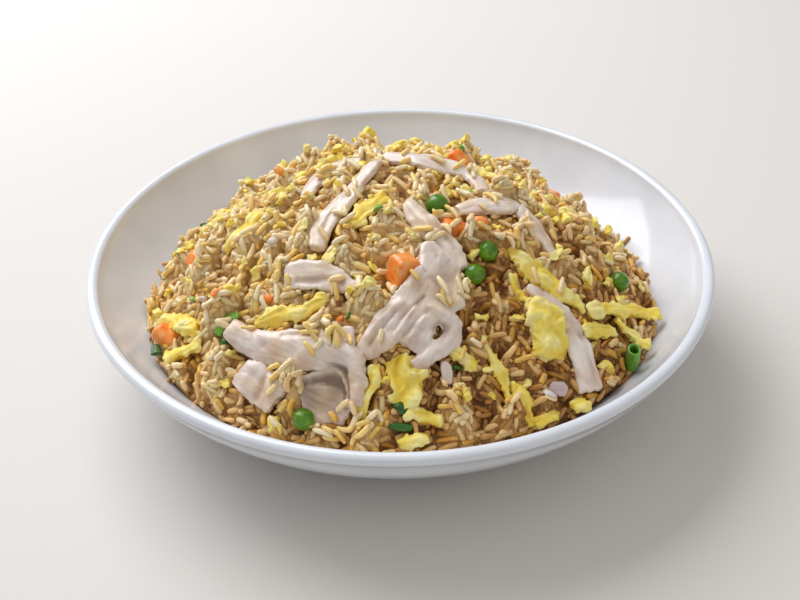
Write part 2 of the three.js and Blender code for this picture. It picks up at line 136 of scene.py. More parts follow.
# ---------- materials ----------
def colour(code):
    """An sRGB hex colour as linear red, green, blue and alpha."""
    parts = [int(code[i : i + 2], 16) / 255 for i in (1, 3, 5)]
    linear = [c / 12.92 if c <= 0.04045 else ((c + 0.055) / 1.055) ** 2.4 for c in parts]
    return (*linear, 1.0)


def add(tree, kind, settings=None, links=None, stops=()):
    """Adds one node. Settings are its attributes or input values, links feed its inputs, and
    stops are the (place, hex colour) pairs of its ramp."""
    made = tree.nodes.new(kind)
    for key, value in (settings or {}).items():
        if isinstance(key, int) or key in made.inputs:
            made.inputs[key].default_value = value
        else:
            setattr(made, key, value)
    for key, source in (links or {}).items():
        tree.links.new(source, made.inputs[key])
    for k, (place, code) in enumerate(stops):
        elements = made.color_ramp.elements
        element = elements[k] if k < len(elements) else elements.new(place)
        element.position, element.color = place, colour(code)
    return made


def make_material(name, values, patterns=None, colours=(), relief=()):
    """Builds a material round one Principled shader, whose inputs get the values.

    patterns: (size in mm, detail, roughness) of each noise, or (size,) for round cells. A pair
        of sizes runs along and across the piece's fibres.
    colours: (share, factor, ramp stops). Each is multiplied by its share over what is before it.
    relief: (factor, depth in mm, strength) of each bump.
    A factor is a pattern, "tint" for the mesh's own value at a point, or the weights of these
    in a sum, in which "plus" is a number."""
    material = bpy.data.materials.new(name)
    material.use_nodes = True
    tree = material.node_tree
    shader = tree.nodes["Principled BSDF"]
    for key, value in values.items():
        shader.inputs[key].default_value = value
    made = {}

    def pattern(size, detail=0, rough=0.5):
        if isinstance(size, tuple):
            along, across = (1 / (s * MM) for s in size)
            fibre = add(tree, "ShaderNodeAttribute", {"attribute_name": "fibre"}).outputs["Vector"]
            scaled = add(tree, "ShaderNodeMapping", {"Scale": (along, across, across)}, {"Vector": fibre})
            scale, links = 1.0, {"Vector": scaled.outputs["Vector"]}
        else:
            scale, links = 1 / (size * MM), {"Vector": add(tree, "ShaderNodeTexCoord").outputs["Object"]}
        if not detail:
            return add(tree, "ShaderNodeTexVoronoi", {"Scale": scale}, links).outputs["Distance"]
        settings = {"Scale": scale, "Detail": detail, "Roughness": rough}
        return add(tree, "ShaderNodeTexNoise", settings, links).outputs["Fac"]

    def socket(factor):
        if isinstance(factor, dict):
            total = None
            for key in [key for key in factor if key != "plus"]:
                settings = {"operation": "MULTIPLY_ADD", 1: factor[key], 2: factor.get("plus", 0)}
                links = {0: socket(key)} | ({2: total} if total else {})
                total = add(tree, "ShaderNodeMath", settings, links).outputs[0]
            return total
        if factor not in made and factor == "tint":
            made[factor] = add(tree, "ShaderNodeAttribute", {"attribute_name": factor}).outputs["Fac"]
        elif factor not in made:
            made[factor] = pattern(*patterns[factor])
        return made[factor]

    base = None
    for share, factor, stops in colours:
        tone = add(tree, "ShaderNodeValToRGB", {}, {"Fac": socket(factor)}, stops).outputs["Color"]
        if base or "Base Color" in values:
            settings = {"data_type": "RGBA", "blend_type": "MULTIPLY", 0: share}
            settings |= {} if base else {6: values["Base Color"]}
            links = {7: tone} | ({6: base} if base else {})
            tone = add(tree, "ShaderNodeMix", settings, links).outputs[2]
        base = tone
    if base:
        tree.links.new(base, shader.inputs["Base Color"])
    normal = None
    for factor, depth, strength in relief:
        links = {"Height": socket(factor)} | ({"Normal": normal} if normal else {})
        settings = {"Distance": depth * MM, "Strength": strength}
        normal = add(tree, "ShaderNodeBump", settings, links).outputs["Normal"]
    if normal:
        tree.links.new(normal, shader.inputs["Normal"])
    return material


def moist(rough, index, share, reach, depth, film=0, film_rough=0.03):
    """Shader values of a food. A share of the light enters it, as far as reach (of red, green
    and blue) times depth in mm, and a film of water or oil lies on it."""
    return {
        "Roughness": rough, "IOR": index, "Coat Weight": film, "Coat Roughness": film_rough,
        "Subsurface Weight": share, "Subsurface Radius": reach, "Subsurface Scale": depth * MM,
    }


def glazed_porcelain(glaze, roughness):
    """White porcelain under a clear fired glaze: bright reflections with a softer sheen round
    them, and the faintest ripple."""
    values = {"Base Color": (*glaze, 1), "Roughness": roughness, "IOR": 1.5}
    values |= {"Coat Weight": 0.3, "Coat Roughness": 0.22}
    patterns = {"pool": (25, 2)}  # glaze pools in swells about 25 mm across
    colours = [(1, "pool", [(0.3, "#F4F4F5"), (0.7, "#FFFFFF")])]
    return make_material("glazed_porcelain", values, patterns, colours, [("pool", 0.12, 0.25)])


def bare_porcelain():
    """Unglazed foot ring, ground flat: dry, off-white and finely sandy."""
    patterns = {"grit": (0.5, 2, 0.6)}  # real grit is about 0.1 mm; drawn coarser so that it shows
    colours = [(1, "grit", [(0.3, "#D9D3C8"), (0.7, "#E8E4DB")])]
    values = {"Roughness": 0.75, "IOR": 1.5}
    return make_material("bare_porcelain", values, patterns, colours, [("grit", 0.05, 0.4)])


def cooked_rice(name, stops, oil):
    """Steamed then fried rice: a soft translucent grain with a thin film of oil, so its
    colour is deep where it browned and its ridges glint."""
    patterns = {
        "brown": (2.2, 2),  # each grain browns in patches about 2 mm across
        "skin": (0.7, 2),  # dimples of its starch skin, about 0.7 mm apart
    }
    values = moist(0.42, 1.38, 0.8, (1.0, 1.0, 0.9), 1.0, oil, 0.07) | {"Specular IOR Level": 0.4}
    # the tint is each grain's tone, with painted shade and painted light in it
    tone = {"plus": -0.25, "brown": 0.5, "tint": 1}
    return make_material(name, values, patterns, [(1, tone, stops)], [("skin", 0.1, 0.25)])


def browned_bed():
    """Rice packed too close to tell apart: sticky and golden, dark with sauce and with painted shade in its
    gaps.
    """
    patterns = {
        "broken": (3, 4, 0.6),
        "pieces": (2.4,),  # bits of grain about 2.4 mm across, with a dark line where they meet
    }
    # the tint paints shade and light: darker in the gaps and low places, paler high on the heap and to its
    # left
    tone = {"plus": -0.2, "broken": 0.6, "tint": 1, "pieces": -0.35}
    stops = [(0.0, "#6E4418"), (0.3, "#A47436"), (0.6, "#CEA666"), (1.0, "#E6C890")]
    relief = [({"pieces": -1}, 1.2, 0.7), ("broken", 0.4, 0.5)]
    values = moist(0.45, 1.42, 0.6, (1.0, 0.8, 0.5), 1.5)
    return make_material("browned_bed", values, patterns, [(1, tone, stops)], relief)


@cache
def poached_chicken():
    """Sliced poached chicken breast: moist, pinkish white and fibrous, with creamier patches and blots of
    sauce. Painted shade makes its creases and hollows grey-brown, and painted light makes its ridges paler."""
    patterns = {
        "wide": (9, 3, 0.55),
        "strands": ((8, 1.2), 3, 0.55),  # fibres about 0.4 mm thick; drawn coarser so that they show
        "sauce": (12, 2),  # soaked in, in blots about 12 mm across
        "dimples": (1.6, 2),
    }
    colours = [
        (1, "wide", [(0.3, "#E0CCC0"), (0.45, "#EDDFD4"), (0.58, "#F7EEE4"), (0.7, "#FCF5E8")]),
        (0.35, "strands", [(0.35, "#D4C2B8"), (0.6, "#FCF8F4")]),
        (0.5, "sauce", [(0.45, "#FFFFFF"), (0.62, "#F4DDB4")]),
        (0.9, "tint", [(0.0, "#988676"), (0.22, "#D2C4B8"), (0.46, "#FFFFFF")]),  # painted shade in creases and hollows, painted light on ridges
    ]
    relief = [("wide", 0.5, 0.4), ("strands", 0.25, 0.35), ("dimples", 0.15, 0.3)]
    values = moist(0.36, 1.42, 0.25, (1.0, 0.72, 0.55), 1.4, 0.4, 0.14)
    return make_material("poached_chicken", values, patterns, colours, relief)


@cache
def scrambled_egg():
    """Softly scrambled egg: matt curd full of fine pores, with painted light making it paler on its ridges
    and painted shade making it deeper yellow in its hollows.
    """
    patterns = {
        "curd": (5, 4, 0.6),
        "threads": ((6, 1.0), 3, 0.6),  # it tears into threads about 1 mm thick
        "pores": (0.9,),  # about 0.5 mm; drawn coarser so that they show
    }
    stops = [(0.35, "#E6B634"), (0.55, "#F6D44A"), (0.78, "#FBE268"), (1.0, "#FDEE9C")]
    relief = [("curd", 0.5, 0.5), ("threads", 0.4, 0.6), ("pores", 0.16, 0.5)]
    values = moist(0.45, 1.4, 0.25, (1.0, 0.7, 0.15), 1.6, 0.1, 0.25)
    # the tint paints light on the curd's ridges and shade in its hollows
    return make_material("scrambled_egg", values, patterns, [(1, {"curd": 1, "tint": 0.6}, stops)], relief)


@cache
def cooked_pea():
    """Boiled green pea: taut glossy skin with soft dimples."""
    patterns = {"skin": (4, 2), "dimples": (1.6, 2)}
    colours = [(1, "skin", [(0.3, "#3E6A04"), (0.55, "#568A08"), (0.75, "#82AC20")])]
    values = moist(0.24, 1.42, 0.2, (0.6, 1.0, 0.1), 1.2, 0.35, 0.1)
    return make_material("cooked_pea", values, patterns, colours, [("dimples", 0.12, 0.3)])


@cache
def cooked_carrot():
    """Diced boiled carrot: bright, wet and slightly see-through at its edges."""
    patterns = {"flesh": (4, 3, 0.55), "cut": (1.2, 3, 0.6)}
    colours = [(1, "flesh", [(0.3, "#FF7E20"), (0.5, "#FF9840"), (0.72, "#FFBA70")])]
    values = moist(0.3, 1.42, 0.3, (1.0, 0.35, 0.1), 2.0, 0.3, 0.15)
    return make_material("cooked_carrot", values, patterns, colours, [("cut", 0.15, 0.4)])


@cache
def scallion_green():
    """Cut scallion leaf: waxy dark green with pale veins along it."""
    patterns = {"veins": ((8, 0.7), 2)}  # about 0.5 mm apart; drawn coarser so that they show
    tone = {"plus": -0.25, "veins": 0.5, "tint": 1}
    stops = [(0.0, "#1F4A12"), (0.35, "#3F7C1E"), (0.65, "#7DB236"), (1.0, "#C2DC86")]
    values = moist(0.3, 1.42, 0.15, (0.4, 1.0, 0.2), 1.0, 0.3, 0.15)
    return make_material("scallion_green", values, patterns, [(1, tone, stops)], [("veins", 0.12, 0.4)])


@cache
def cooked_shallot():
    """Sweated shallot: glassy, pale with purple along its skin side."""
    patterns = {"layers": ((10, 1.0), 2)}
    tone = {"plus": -0.25, "layers": 0.5, "tint": 1}
    stops = [(0.0, "#A88890"), (0.4, "#CDB6B2"), (0.7, "#E2D4CA"), (1.0, "#F2ECE2")]
    values = moist(0.28, 1.4, 0.4, (1.0, 0.7, 0.8), 1.5, 0.3, 0.12)
    return make_material("cooked_shallot", values, patterns, [(1, tone, stops)], [("layers", 0.15, 0.4)])


# ---------- meshes ----------
def show(name, mesh, material, slot, *nodes):
    """Puts a mesh in the scene as a piece that rides with the plate and stands for nodes."""
    mesh.materials.clear()
    mesh.materials.append(material)
    piece = bpy.data.objects.new(name, mesh)
    bpy.context.scene.collection.objects.link(piece)
    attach(piece, "root")
    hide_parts(*nodes)


def skin(name, points, faces, smooth=True):
    """A mesh from points in metres and an array of faces with equal corner counts."""
    faces = np.asarray(faces, np.int32)
    mesh = bpy.data.meshes.new(name)
    corners = faces.shape[1]
    mesh.vertices.add(len(points))
    mesh.vertices.foreach_set("co", np.asarray(points, np.float32).ravel())
    mesh.loops.add(faces.size)
    mesh.loops.foreach_set("vertex_index", faces.ravel())
    mesh.polygons.add(len(faces))
    mesh.polygons.foreach_set("loop_start", np.arange(0, faces.size, corners, dtype=np.int32))
    mesh.update(calc_edges=True)
    mesh.validate()
    mesh.polygons.foreach_set("use_smooth", [smooth] * len(mesh.polygons))
    return mesh


def ringed_faces(rings, sides):
    """Faces of a closed skin over two end points and then rings of points between them."""
    faces, last = [], 2 + (rings - 1) * sides
    for k in range(sides):
        n = (k + 1) % sides
        faces += [(0, 2 + k, 2 + n), (1, last + n, last + k)]
        for r in range(rings - 1):
            a, b = 2 + r * sides + k, 2 + r * sides + n
            faces += [(a, a + sides, b + sides), (a, b + sides, b)]
    return faces


def vectors_of(collection, key):
    """One vector of each item, as an array."""
    flat = np.empty(len(collection) * 3, np.float32)
    collection.foreach_get(key, flat)
    return flat.reshape(-1, 3).astype(float)


def keep_value(mesh, name, values):
    """Keeps a number or a vector for each point, which the materials read by its name."""
    kind = "FLOAT" if values.ndim == 1 else "FLOAT_VECTOR"
    layer = mesh.attributes.new(name, kind, "POINT")
    layer.data.foreach_set("value" if kind == "FLOAT" else "vector", values.astype(np.float32).ravel())


def own_axes(points):
    """Centre and axes of a cloud of points, longest first."""
    centre = points.mean(0)
    _, axes = np.linalg.eigh(np.cov((points - centre).T))
    largest = np.take_along_axis(axes, np.abs(axes).argmax(0)[None], 0)
    return centre, (axes * np.sign(largest))[:, ::-1]


def outer_shell(mesh):
    """Drops every loose shell but the one that holds the most points."""
    shape = bmesh.new()
    shape.from_mesh(mesh)
    shells, seen = [], set()
    for start in shape.verts:
        if start.index in seen:
            continue
        shell, edge = [], [start]
        seen.add(start.index)
        while edge:
            point = edge.pop()
            shell.append(point)
            for link in point.link_edges:
                other = link.other_vert(point)
                if other.index not in seen:
                    seen.add(other.index)
                    edge.append(other)
        shells.append(shell)
    shells.sort(key=len)
    for shell in shells[:-1]:
        bmesh.ops.delete(shape, geom=shell, context="VERTS")
    shape.to_mesh(mesh)
    shape.free()


def rounded(node, cell, smoothing):
    """A node's solid as a fine even mesh of cells, with its corners eased."""
    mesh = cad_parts[node].data.copy()
    shape = bmesh.new()
    shape.from_mesh(mesh)
    bmesh.ops.remove_doubles(shape, verts=shape.verts, dist=1e-6)
    shape.to_mesh(mesh)
    shape.free()
    rough = bpy.data.objects.new("rough", mesh)
    bpy.context.scene.collection.objects.link(rough)
    remesh = rough.modifiers.new("remesh", "REMESH")
    remesh.mode = "VOXEL"
    remesh.voxel_size = cell
    ease = rough.modifiers.new("ease", "SMOOTH")
    ease.factor = 0.5
    ease.iterations = smoothing
    evaluated = rough.evaluated_get(bpy.context.evaluated_depsgraph_get())
    made = bpy.data.meshes.new_from_object(evaluated)
    bpy.data.objects.remove(rough)
    bpy.data.meshes.remove(mesh)
    outer_shell(made)
    made.polygons.foreach_set("use_smooth", [True] * len(made.polygons))
    return made


def shaped(mesh, push, strokes):
    """Moves each point by push(points, normals, fibre coordinates, edge), in millimetres.
    edge is 1 on a piece's thin sides and 0 on its broad faces. Each stroke (x, y, x, y, width, lift) then
    raises or sinks the piece along a line seen from above. How far each point moved is kept as its tint:
    painted shade where it sank, painted light where it rose."""
    points = vectors_of(mesh.vertices, "co")
    centre, axes = own_axes(points)
    fibre = (points - centre) @ axes
    normals = vectors_of(mesh.vertex_normals, "vector")
    edge = np.clip(1 - 1.25 * np.abs(normals @ axes[:, 2]), 0, 1)
    moved = points / MM + push(points / MM, normals, fibre / MM, edge)
    upper = np.clip(2 * normals[:, 2] + 0.3, 0, 1)
    highest, lowest = np.zeros(len(points)), np.zeros(len(points))
    for x0, y0, x1, y1, width, lift in strokes:
        run = np.array([x1 - x0, y1 - y0], float)
        from_start = points[:, :2] / MM - (x0, y0)
        share = np.clip(from_start @ run / max(run @ run, 1e-9), 0, 1)
        away = np.linalg.norm(from_start - share[:, None] * run, axis=1)
        dent = lift * np.exp(-((away / width) ** 2))
        highest, lowest = np.maximum(highest, dent), np.minimum(lowest, dent)
    moved += normals * (upper * (highest + lowest))[:, None]
    moved[:, 2] = np.minimum(moved[:, 2], CEILING + 0.2)
    mesh.vertices.foreach_set("co", (moved * MM).astype(np.float32).ravel())
    mesh.update()
    keep_value(mesh, "fibre", fibre)
    # painted shade and light: how far each point moved out along its normal becomes its tint, so that sunk
    # parts are drawn darker and raised ones paler
    raised = ((moved - points / MM) * normals).sum(1)
    keep_value(mesh, "tint", np.clip(0.5 + 0.3 * (raised - np.median(raised)), 0, 1))
    return mesh


def dress(node, suffix, material, slot, cell, smoothing, push):
    """Puts a finer copy of a node's solid in its place, pushed about and with its folds."""
    mesh = shaped(rounded(node, cell, smoothing), push, FOLDS.get(node, ()))
    show(node + suffix, mesh, material, slot, node)
    return mesh


def ripples(points, size, seed):
    """Smooth noise at each point, about -1 to 1, with features of a size in mm."""
    scale = np.broadcast_to(1 / np.asarray(size, float), (3,))
    return np.array([noise.noise(Vector(p * scale + seed)) for p in points])


def drift(points, size, seed):
    """A smooth random direction at each point."""
    return np.array([noise.noise_vector(Vector(p / size + seed)) for p in points])


# ---------- the heap ----------
GRID_STEP = 0.5
GRID_HALF = 225  # cells from the middle of the grid to its side
GRAIN_DEPTH = 6.5  # of the layer of loose grains
CLUMPS = 8.0  # how far the rice heaps up on a clump, for each unit of lumpiness
MEAN_LUMPINESS = 0.62
CALM_CELLS = 5  # round a topping, where the rice doesn't heap up
TUCKED_CELLS = 2  # along a topping's edge, where grains tuck in under it
STICKY_CELLS = 3  # along its edge, where grains stick to its top
PEA_CLEARANCE = 7  # from a pea's middle, as nothing sticks to its skin
CEILING = CAD_BOX[1][2] / MM - 0.3  # nothing reaches higher
SEEN_CELLS = 4  # a grain is left out where less than this of it shows from above
STATIONS = np.array([-1, -0.66, -0.33, 0, 0.33, 0.66, 1])  # places along a grain that may touch
LANES = np.array([-0.7, 0, 0.7])  # and across it
MIDDLE = 3  # the station in the middle
SNUG = 0.7  # share of its thickness that counts, as sticky grains give way where they meet
PRESS = 0.5  # grains settle by this share of their radius
LOFT = 0.35  # or are held up by their neighbours, by about this much
WOBBLE = 0.36  # spread of the slopes at which grains stick, about the one they would rest at
TANGLE = 0.7  # spread in radians of the headings of grains that lie together
GAP_DEPTH = 1.9  # of a gap that shows
PACKED = 0.8  # depth at which the gaps between grains are full of starch and broken ones
CRUMB_PACKED = 2.2  # the same under crumbs, which stand clear of it
REACH = 100.0  # how far from the middle grains are dropped
MOST_MISSES = 200  # drops in a row that find no room before the heap is full
CRUMBS_AT = 0.84  # share of the heap that is filled when the crumbs are laid


def shrunk(mask, cells):
    """A mask less this many cells along its edges."""
    for _ in range(cells):
        core = mask.copy()
        core[1:] &= mask[:-1]
        core[:-1] &= mask[1:]
        core[:, 1:] &= mask[:, :-1]
        core[:, :-1] &= mask[:, 1:]
        mask = core
    return mask


def lumpiness(x, y):
    """How clumped the rice is at a place, in clumps about 13 mm and 6 mm across."""
    wide = noise.noise(Vector((x / 13, y / 13, 3.7)))
    fine = noise.noise(Vector((x / 6, y / 6, 8.1)))
    return 2.1 * abs(wide) + abs(fine)


class Heap:
    """Heights of all that lies on the plate so far, seen from above, in millimetres."""

    def __init__(self):
        axis = (np.arange(2 * GRID_HALF + 1) - GRID_HALF) * GRID_STEP
        self.x, self.y = np.meshgrid(axis, axis, indexing="ij")
        radius = np.hypot(self.x, self.y)
        heading = np.arctan2(self.y, self.x)
        inside = radius < edge_radius(heading)
        clumps = np.vectorize(lumpiness)(self.x, self.y)
        self.flow = math.pi * np.roll(clumps, 90, 0)  # heading that neighbours share
        clumps -= MEAN_LUMPINESS
        wall = self.wall = plate_surface(radius)
        mound = self.mound = mound_height(self.x, self.y)
        strays = 1.4 * np.sin(9 * heading + 1) * np.sin(5 * heading)
        brim = radius < edge_radius(heading) + 0.4 + strays
        # heights that are wished for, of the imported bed, and of the top so far
        self.wish = np.where(brim, np.maximum(mound + CLUMPS * clumps, wall + 2.4), wall)
        self.bed = np.where(inside, np.maximum(mound - GRAIN_DEPTH, wall + 0.3), wall)
        self.top = self.bed.copy()
        # cells shut by toppings, with the tops and undersides of these
        self.shut = np.zeros(self.x.shape, bool)
        self.cover = np.full(self.x.shape, -1.0)
        self.under = np.full(self.x.shape, 999.0)
        self.sticky = self.shut.copy()
        # which grain or crumb is on top in a cell, by its number
        self.owner = np.full(self.x.shape, -1)
        self.crumbs = []
        self.laid = 0

    def cells(self, x, y):
        """Indexes of the cells at places."""
        i = np.rint(x / GRID_STEP).astype(int) + GRID_HALF
        j = np.rint(y / GRID_STEP).astype(int) + GRID_HALF
        return np.clip(i, 0, 2 * GRID_HALF), np.clip(j, 0, 2 * GRID_HALF)

    def lay_topping(self, node, margin):
        """Shuts the cells under a topping, less a margin in cells where grains tuck in."""
        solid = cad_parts[node].data
        corners = [v.co for v in solid.vertices]
        tree = BVHTree.FromPolygons(corners, [p.vertices for p in solid.polygons])
        low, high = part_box(node)
        i0, j0 = (k - 4 for k in self.cells(low.x / MM, low.y / MM))
        i1, j1 = (k + 5 for k in self.cells(high.x / MM, high.y / MM))
        inside = np.zeros((i1 - i0, j1 - j0), bool)
        for i in range(i0, i1):
            for j in range(j0, j1):
                start = Vector((self.x[i, j] * MM, self.y[i, j] * MM, 0.2))
                hit = tree.ray_cast(start, Vector((0, 0, -1)))[0]
                if hit:
                    inside[i - i0, j - j0] = True
                    self.cover[i, j] = max(self.cover[i, j], hit.z / MM)
                    below = tree.ray_cast(Vector((start.x, start.y, 0)), Vector((0, 0, 1)))[0]
                    self.under[i, j] = min(self.under[i, j], below.z / MM)
        inside = shrunk(inside, margin)
        self.shut[i0:i1, j0:j1] |= inside
        if node.startswith(("chicken", "egg")):
            self.sticky[i0:i1, j0:j1] |= inside

    def calm(self):
        """Keeps the rice low round the toppings, so that it doesn't bury them."""
        near = ~shrunk(~self.shut, CALM_CELLS)
        self.wish = np.where(near, np.minimum(self.wish, self.mound + 0.4), self.wish)

    def filled(self):
        """Share of the heap where the rice is nearly as high as wished for."""
        return (self.top > self.wish - 1.6)[self.wish > self.bed + 1].mean()

    def eased(self, times):
        """The heights so far, blurred over this many cells."""
        level = self.top.copy()
        for _ in range(times):
            for axis in (0, 1):
                level = (np.roll(level, 1, axis) + level + np.roll(level, -1, axis)) / 3
        return level

    def bury(self, random, size):
        """Sinks grains of a size among their neighbours in the gaps that are left."""
        level = self.eased(8)
        deep = (level - self.top > GAP_DEPTH) & ~self.shut & (self.wish > self.wall + 1)
        spots = np.argwhere(deep)
        random.shuffle(spots)
        rods = []
        for i, j in spots:
            if level[i, j] - self.top[i, j] < GAP_DEPTH:
                continue
            least, most = (0, size[0], size[2]), (2 * math.pi, size[1], size[3])
            heading, half, radius = random.uniform(least, most)
            run = np.array([-0.6, 0.6]) * half
            x, y = self.x[i, j], self.y[i, j]
            low, high = level[self.cells(x + run * math.cos(heading), y + run * math.sin(heading))]
            z = level[i, j] - radius
            if z < self.wall[i, j] + 0.4 * radius or z + radius > CEILING:
                continue
            rods.append((self.laid, (x, y, z, heading, (high - low) / (1.2 * half), half, radius)))
            self.stamp(*rods[-1][1])
        return rods

    def packed(self):
        """Height of the broken rice that fills the gaps between the grains."""
        level = self.eased(2)
        level = level - np.where(np.isin(self.owner, self.crumbs), CRUMB_PACKED, PACKED)
        level = np.minimum(level, self.eased(30) - 0.2)
        level = np.where(self.shut, np.minimum(level, self.under - 0.6), level)
        return np.maximum(level, self.bed)

    def open_over(self):
        """Lets what comes next lie on the toppings too."""
        self.top = np.maximum(self.top, self.cover + 0.7)
        self.shut[:] = False

    def rest(self, x, y, heading, half, radius, wobble):
        """Where rods dropped at (x, y) come to lie: the height of the middle, the slope,
        and how far below the wished-for surface that leaves them."""
        along = STATIONS[None, :, None] * half[:, None, None]
        across = LANES[None, None, :] * radius[:, None, None]
        c, s = np.cos(heading)[:, None, None], np.sin(heading)[:, None, None]
        placed_x = x[:, None, None] + along * c - across * s
        placed_y = y[:, None, None] + along * s + across * c
        i, j = self.cells(placed_x, placed_y)
        under = self.top[i, j] + SNUG * radius[:, None, None] * np.sqrt(1 - LANES**2)
        hold = under.max(2)
        left, right = hold[:, :MIDDLE], hold[:, MIDDLE + 1 :]
        # lines from each station on the left to each on the right; the highest one holds
        sl, sr = STATIONS[:MIDDLE], STATIONS[MIDDLE + 1 :]
        mid = (left[:, :, None] * sr - right[:, None, :] * sl[:, None]) / (sr - sl[:, None])
        rise = (right[:, None, :] - left[:, :, None]) / (sr - sl[:, None])
        mid, rise = mid.reshape(len(x), -1), rise.reshape(len(x), -1)
        pick = mid.argmax(1)
        rows = np.arange(len(x))
        height, slope = mid[rows, pick], rise[rows, pick]
        centre = hold[:, MIDDLE]
        least = ((right - centre[:, None]) / sr).max(1)
        most = ((left - centre[:, None]) / sl).min(1)
        tipped = np.where(np.abs(least) < np.abs(most), least, most)
        # a rod that rests on its middle alone tips to the nearest slope that holds
        balanced = centre > height
        height, slope = np.where(balanced, centre, height), np.where(balanced, tipped, slope)
        room = self.wish[i[:, :, 1], j[:, :, 1]].mean(1) - height
        slope = slope + wobble * half
        middle = height[:, None] + STATIONS * slope[:, None]
        i, j = i[:, :, 1], j[:, :, 1]
        blocked = self.shut[i, j] & (middle + 0.3 * radius[:, None] > self.under[i, j])
        sunk = middle < self.wall[i, j] + 0.3 * radius[:, None]
        too_high = middle + 0.9 * radius[:, None] > CEILING
        free = ~(blocked | sunk | too_high).any(1)
        return height, slope / half, room, free

    def stamp(self, x, y, z, heading, slope, half, radius):
        """Raises the heights under a rod that now lies at (x, y, z)."""
        reach = half + radius
        i0, j0 = self.cells(x - reach, y - reach)
        i1, j1 = self.cells(x + reach, y + reach)
        patch = (slice(i0, i1 + 1), slice(j0, j1 + 1))
        dx, dy = self.x[patch] - x, self.y[patch] - y
        u = dx * math.cos(heading) + dy * math.sin(heading)
        v = dy * math.cos(heading) - dx * math.sin(heading)
        level = half / math.hypot(1, slope)
        inside = (np.abs(u) < level) & (np.abs(v) < radius)
        body = np.sqrt(np.clip(radius**2 * (1 - (u / level) ** 4) - v**2, 0, None))
        top = np.where(inside, z + slope * u + SNUG * body, -1)
        self.owner[patch] = np.where(top > self.top[patch], self.laid, self.owner[patch])
        self.top[patch] = np.maximum(self.top[patch], top)
        self.laid += 1

    def drop(self, random, tries, size, over, spot=None, steep=1.5):
        """Finds the emptiest of some random places for a rod and lays it there, or gives None.
        size is (least half length, most, least radius, most), over how far it may stand above
        the wished-for height, spot fixes the place, and steep is the most that it may slope."""
        half = random.uniform(size[0], size[1], tries)
        radius = random.uniform(size[2], size[3], tries)
        if spot is None:
            away = REACH * np.sqrt(random.uniform(0, 1, tries))
            angle = random.uniform(0, 2 * math.pi, tries)
            x, y = away * np.cos(angle), away * np.sin(angle)
        else:
            x = spot[0] + random.uniform(-1, 1, tries)
            y = spot[1] + random.uniform(-1, 1, tries)
        tangle = random.normal(0, TANGLE if spot is None else TANGLE / 2, tries)
        round_about = np.arctan2(y, x)
        brim = np.hypot(x, y) > edge_radius(round_about) - 4
        along_brim = round_about + math.pi / 2 + 0.7 * tangle
        heading = np.where(brim, along_brim, self.flow[self.cells(x, y)] + tangle)
        wobble = random.normal(0, WOBBLE if spot is None else WOBBLE / 3, tries)
        height, slope, room, free = self.rest(x, y, heading, half, radius, wobble)
        score = np.where(free & (np.abs(slope) < steep), room, -99)
        k = int(score.argmax())
        if score[k] < -over or not free[k]:
            return None
        z = height[k] - PRESS * radius[k] + max(0, random.normal(0, LOFT))
        if z + radius[k] + abs(slope[k]) * half[k] / math.hypot(1, slope[k]) > CEILING:
            return None
        rod = (x[k], y[k], z, heading[k], slope[k], half[k], radius[k])
        self.stamp(*rod)
        return rod


def stuck_spots(heap, random, count):
    """Where grains stick to the toppings: in the listed clumps, then along their edges."""
    i, j = np.nonzero(heap.sticky & ~shrunk(heap.sticky, STICKY_CELLS))
    pick = random.choice(len(i), count, replace=False)
    edges = [(heap.x[i[k], j[k]], heap.y[i[k], j[k]]) for k in pick]
    clumps = [
        (x + random.normal(0, spread / 2), y + random.normal(0, spread / 2))
        for x, y, grains, spread in CLUMPS_ON_TOP
        for _ in range(grains)
    ]
    peas = [sum(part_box(node), Vector()) / 2 / MM for node in nodes_of("pea")]
    return [
        (x, y)
        for x, y in clumps + edges
        if all(math.hypot(x - pea.x, y - pea.y) >= PEA_CLEARANCE for pea in peas)
    ]


def bed_mesh(heap):
    """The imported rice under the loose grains, down to the plate."""
    rings, sides = 112, 390
    packed = heap.packed()
    angle = np.arange(sides) * 2 * math.pi / sides
    edge = edge_radius(angle)
    middle = packed[heap.cells(0.0, 0.0)]
    points = [[(0, 0, middle), (0, 0, PLATE_FLOOR + 0.05)]]
    for radius in [edge * (k / rings) for k in range(1, rings + 1)]:
        x, y = radius * np.cos(angle), radius * np.sin(angle)
        points.append(np.stack([x, y, packed[heap.cells(x, y)]], 1))
    under = (1, 0.85, 0.6, 0.3)
    for radius in [edge * share for share in under]:
        x, y = radius * np.cos(angle), radius * np.sin(angle)
        points.append(np.stack([x, y, plate_surface(radius) + 0.05], 1))
    every = np.concatenate(points)
    upper = slice(2, 2 + (rings - 1) * sides)
    # broken rice, finer than a grain, is relief on the bed
    every[upper] += drift(every[upper], 2.4, 1.0) * 0.3
    every[upper, 2] += 0.3 * ripples(every[upper], 2.2, 4.0)
    mesh = skin("rice_bed", every * MM, ringed_faces(rings + len(under), sides))
    x, y, z = every.T
    spot = heap.cells(x, y)
    # painted shade and light: the bed is drawn darker where it lies below its neighbours or the mound, darker
    # still where sauce gathered or shade is painted on the front and right, and paler high on the heap and to
    # its left
    gap, dip = z - heap.eased(16)[spot], z - heap.mound[spot]
    tone = 0.72 + 0.06 * gap + 0.1 * np.clip(dip, -5, 2) - 0.35 * sauce_and_shade_at(x, y) + side_light(x, z)
    keep_value(mesh, "tint", np.clip(tone, 0.1, 1))
    return mesh


# ---------- grains and lumps ----------
BLUNTNESS = 5.0  # of a grain's ends: 2 is an egg's, more is flatter


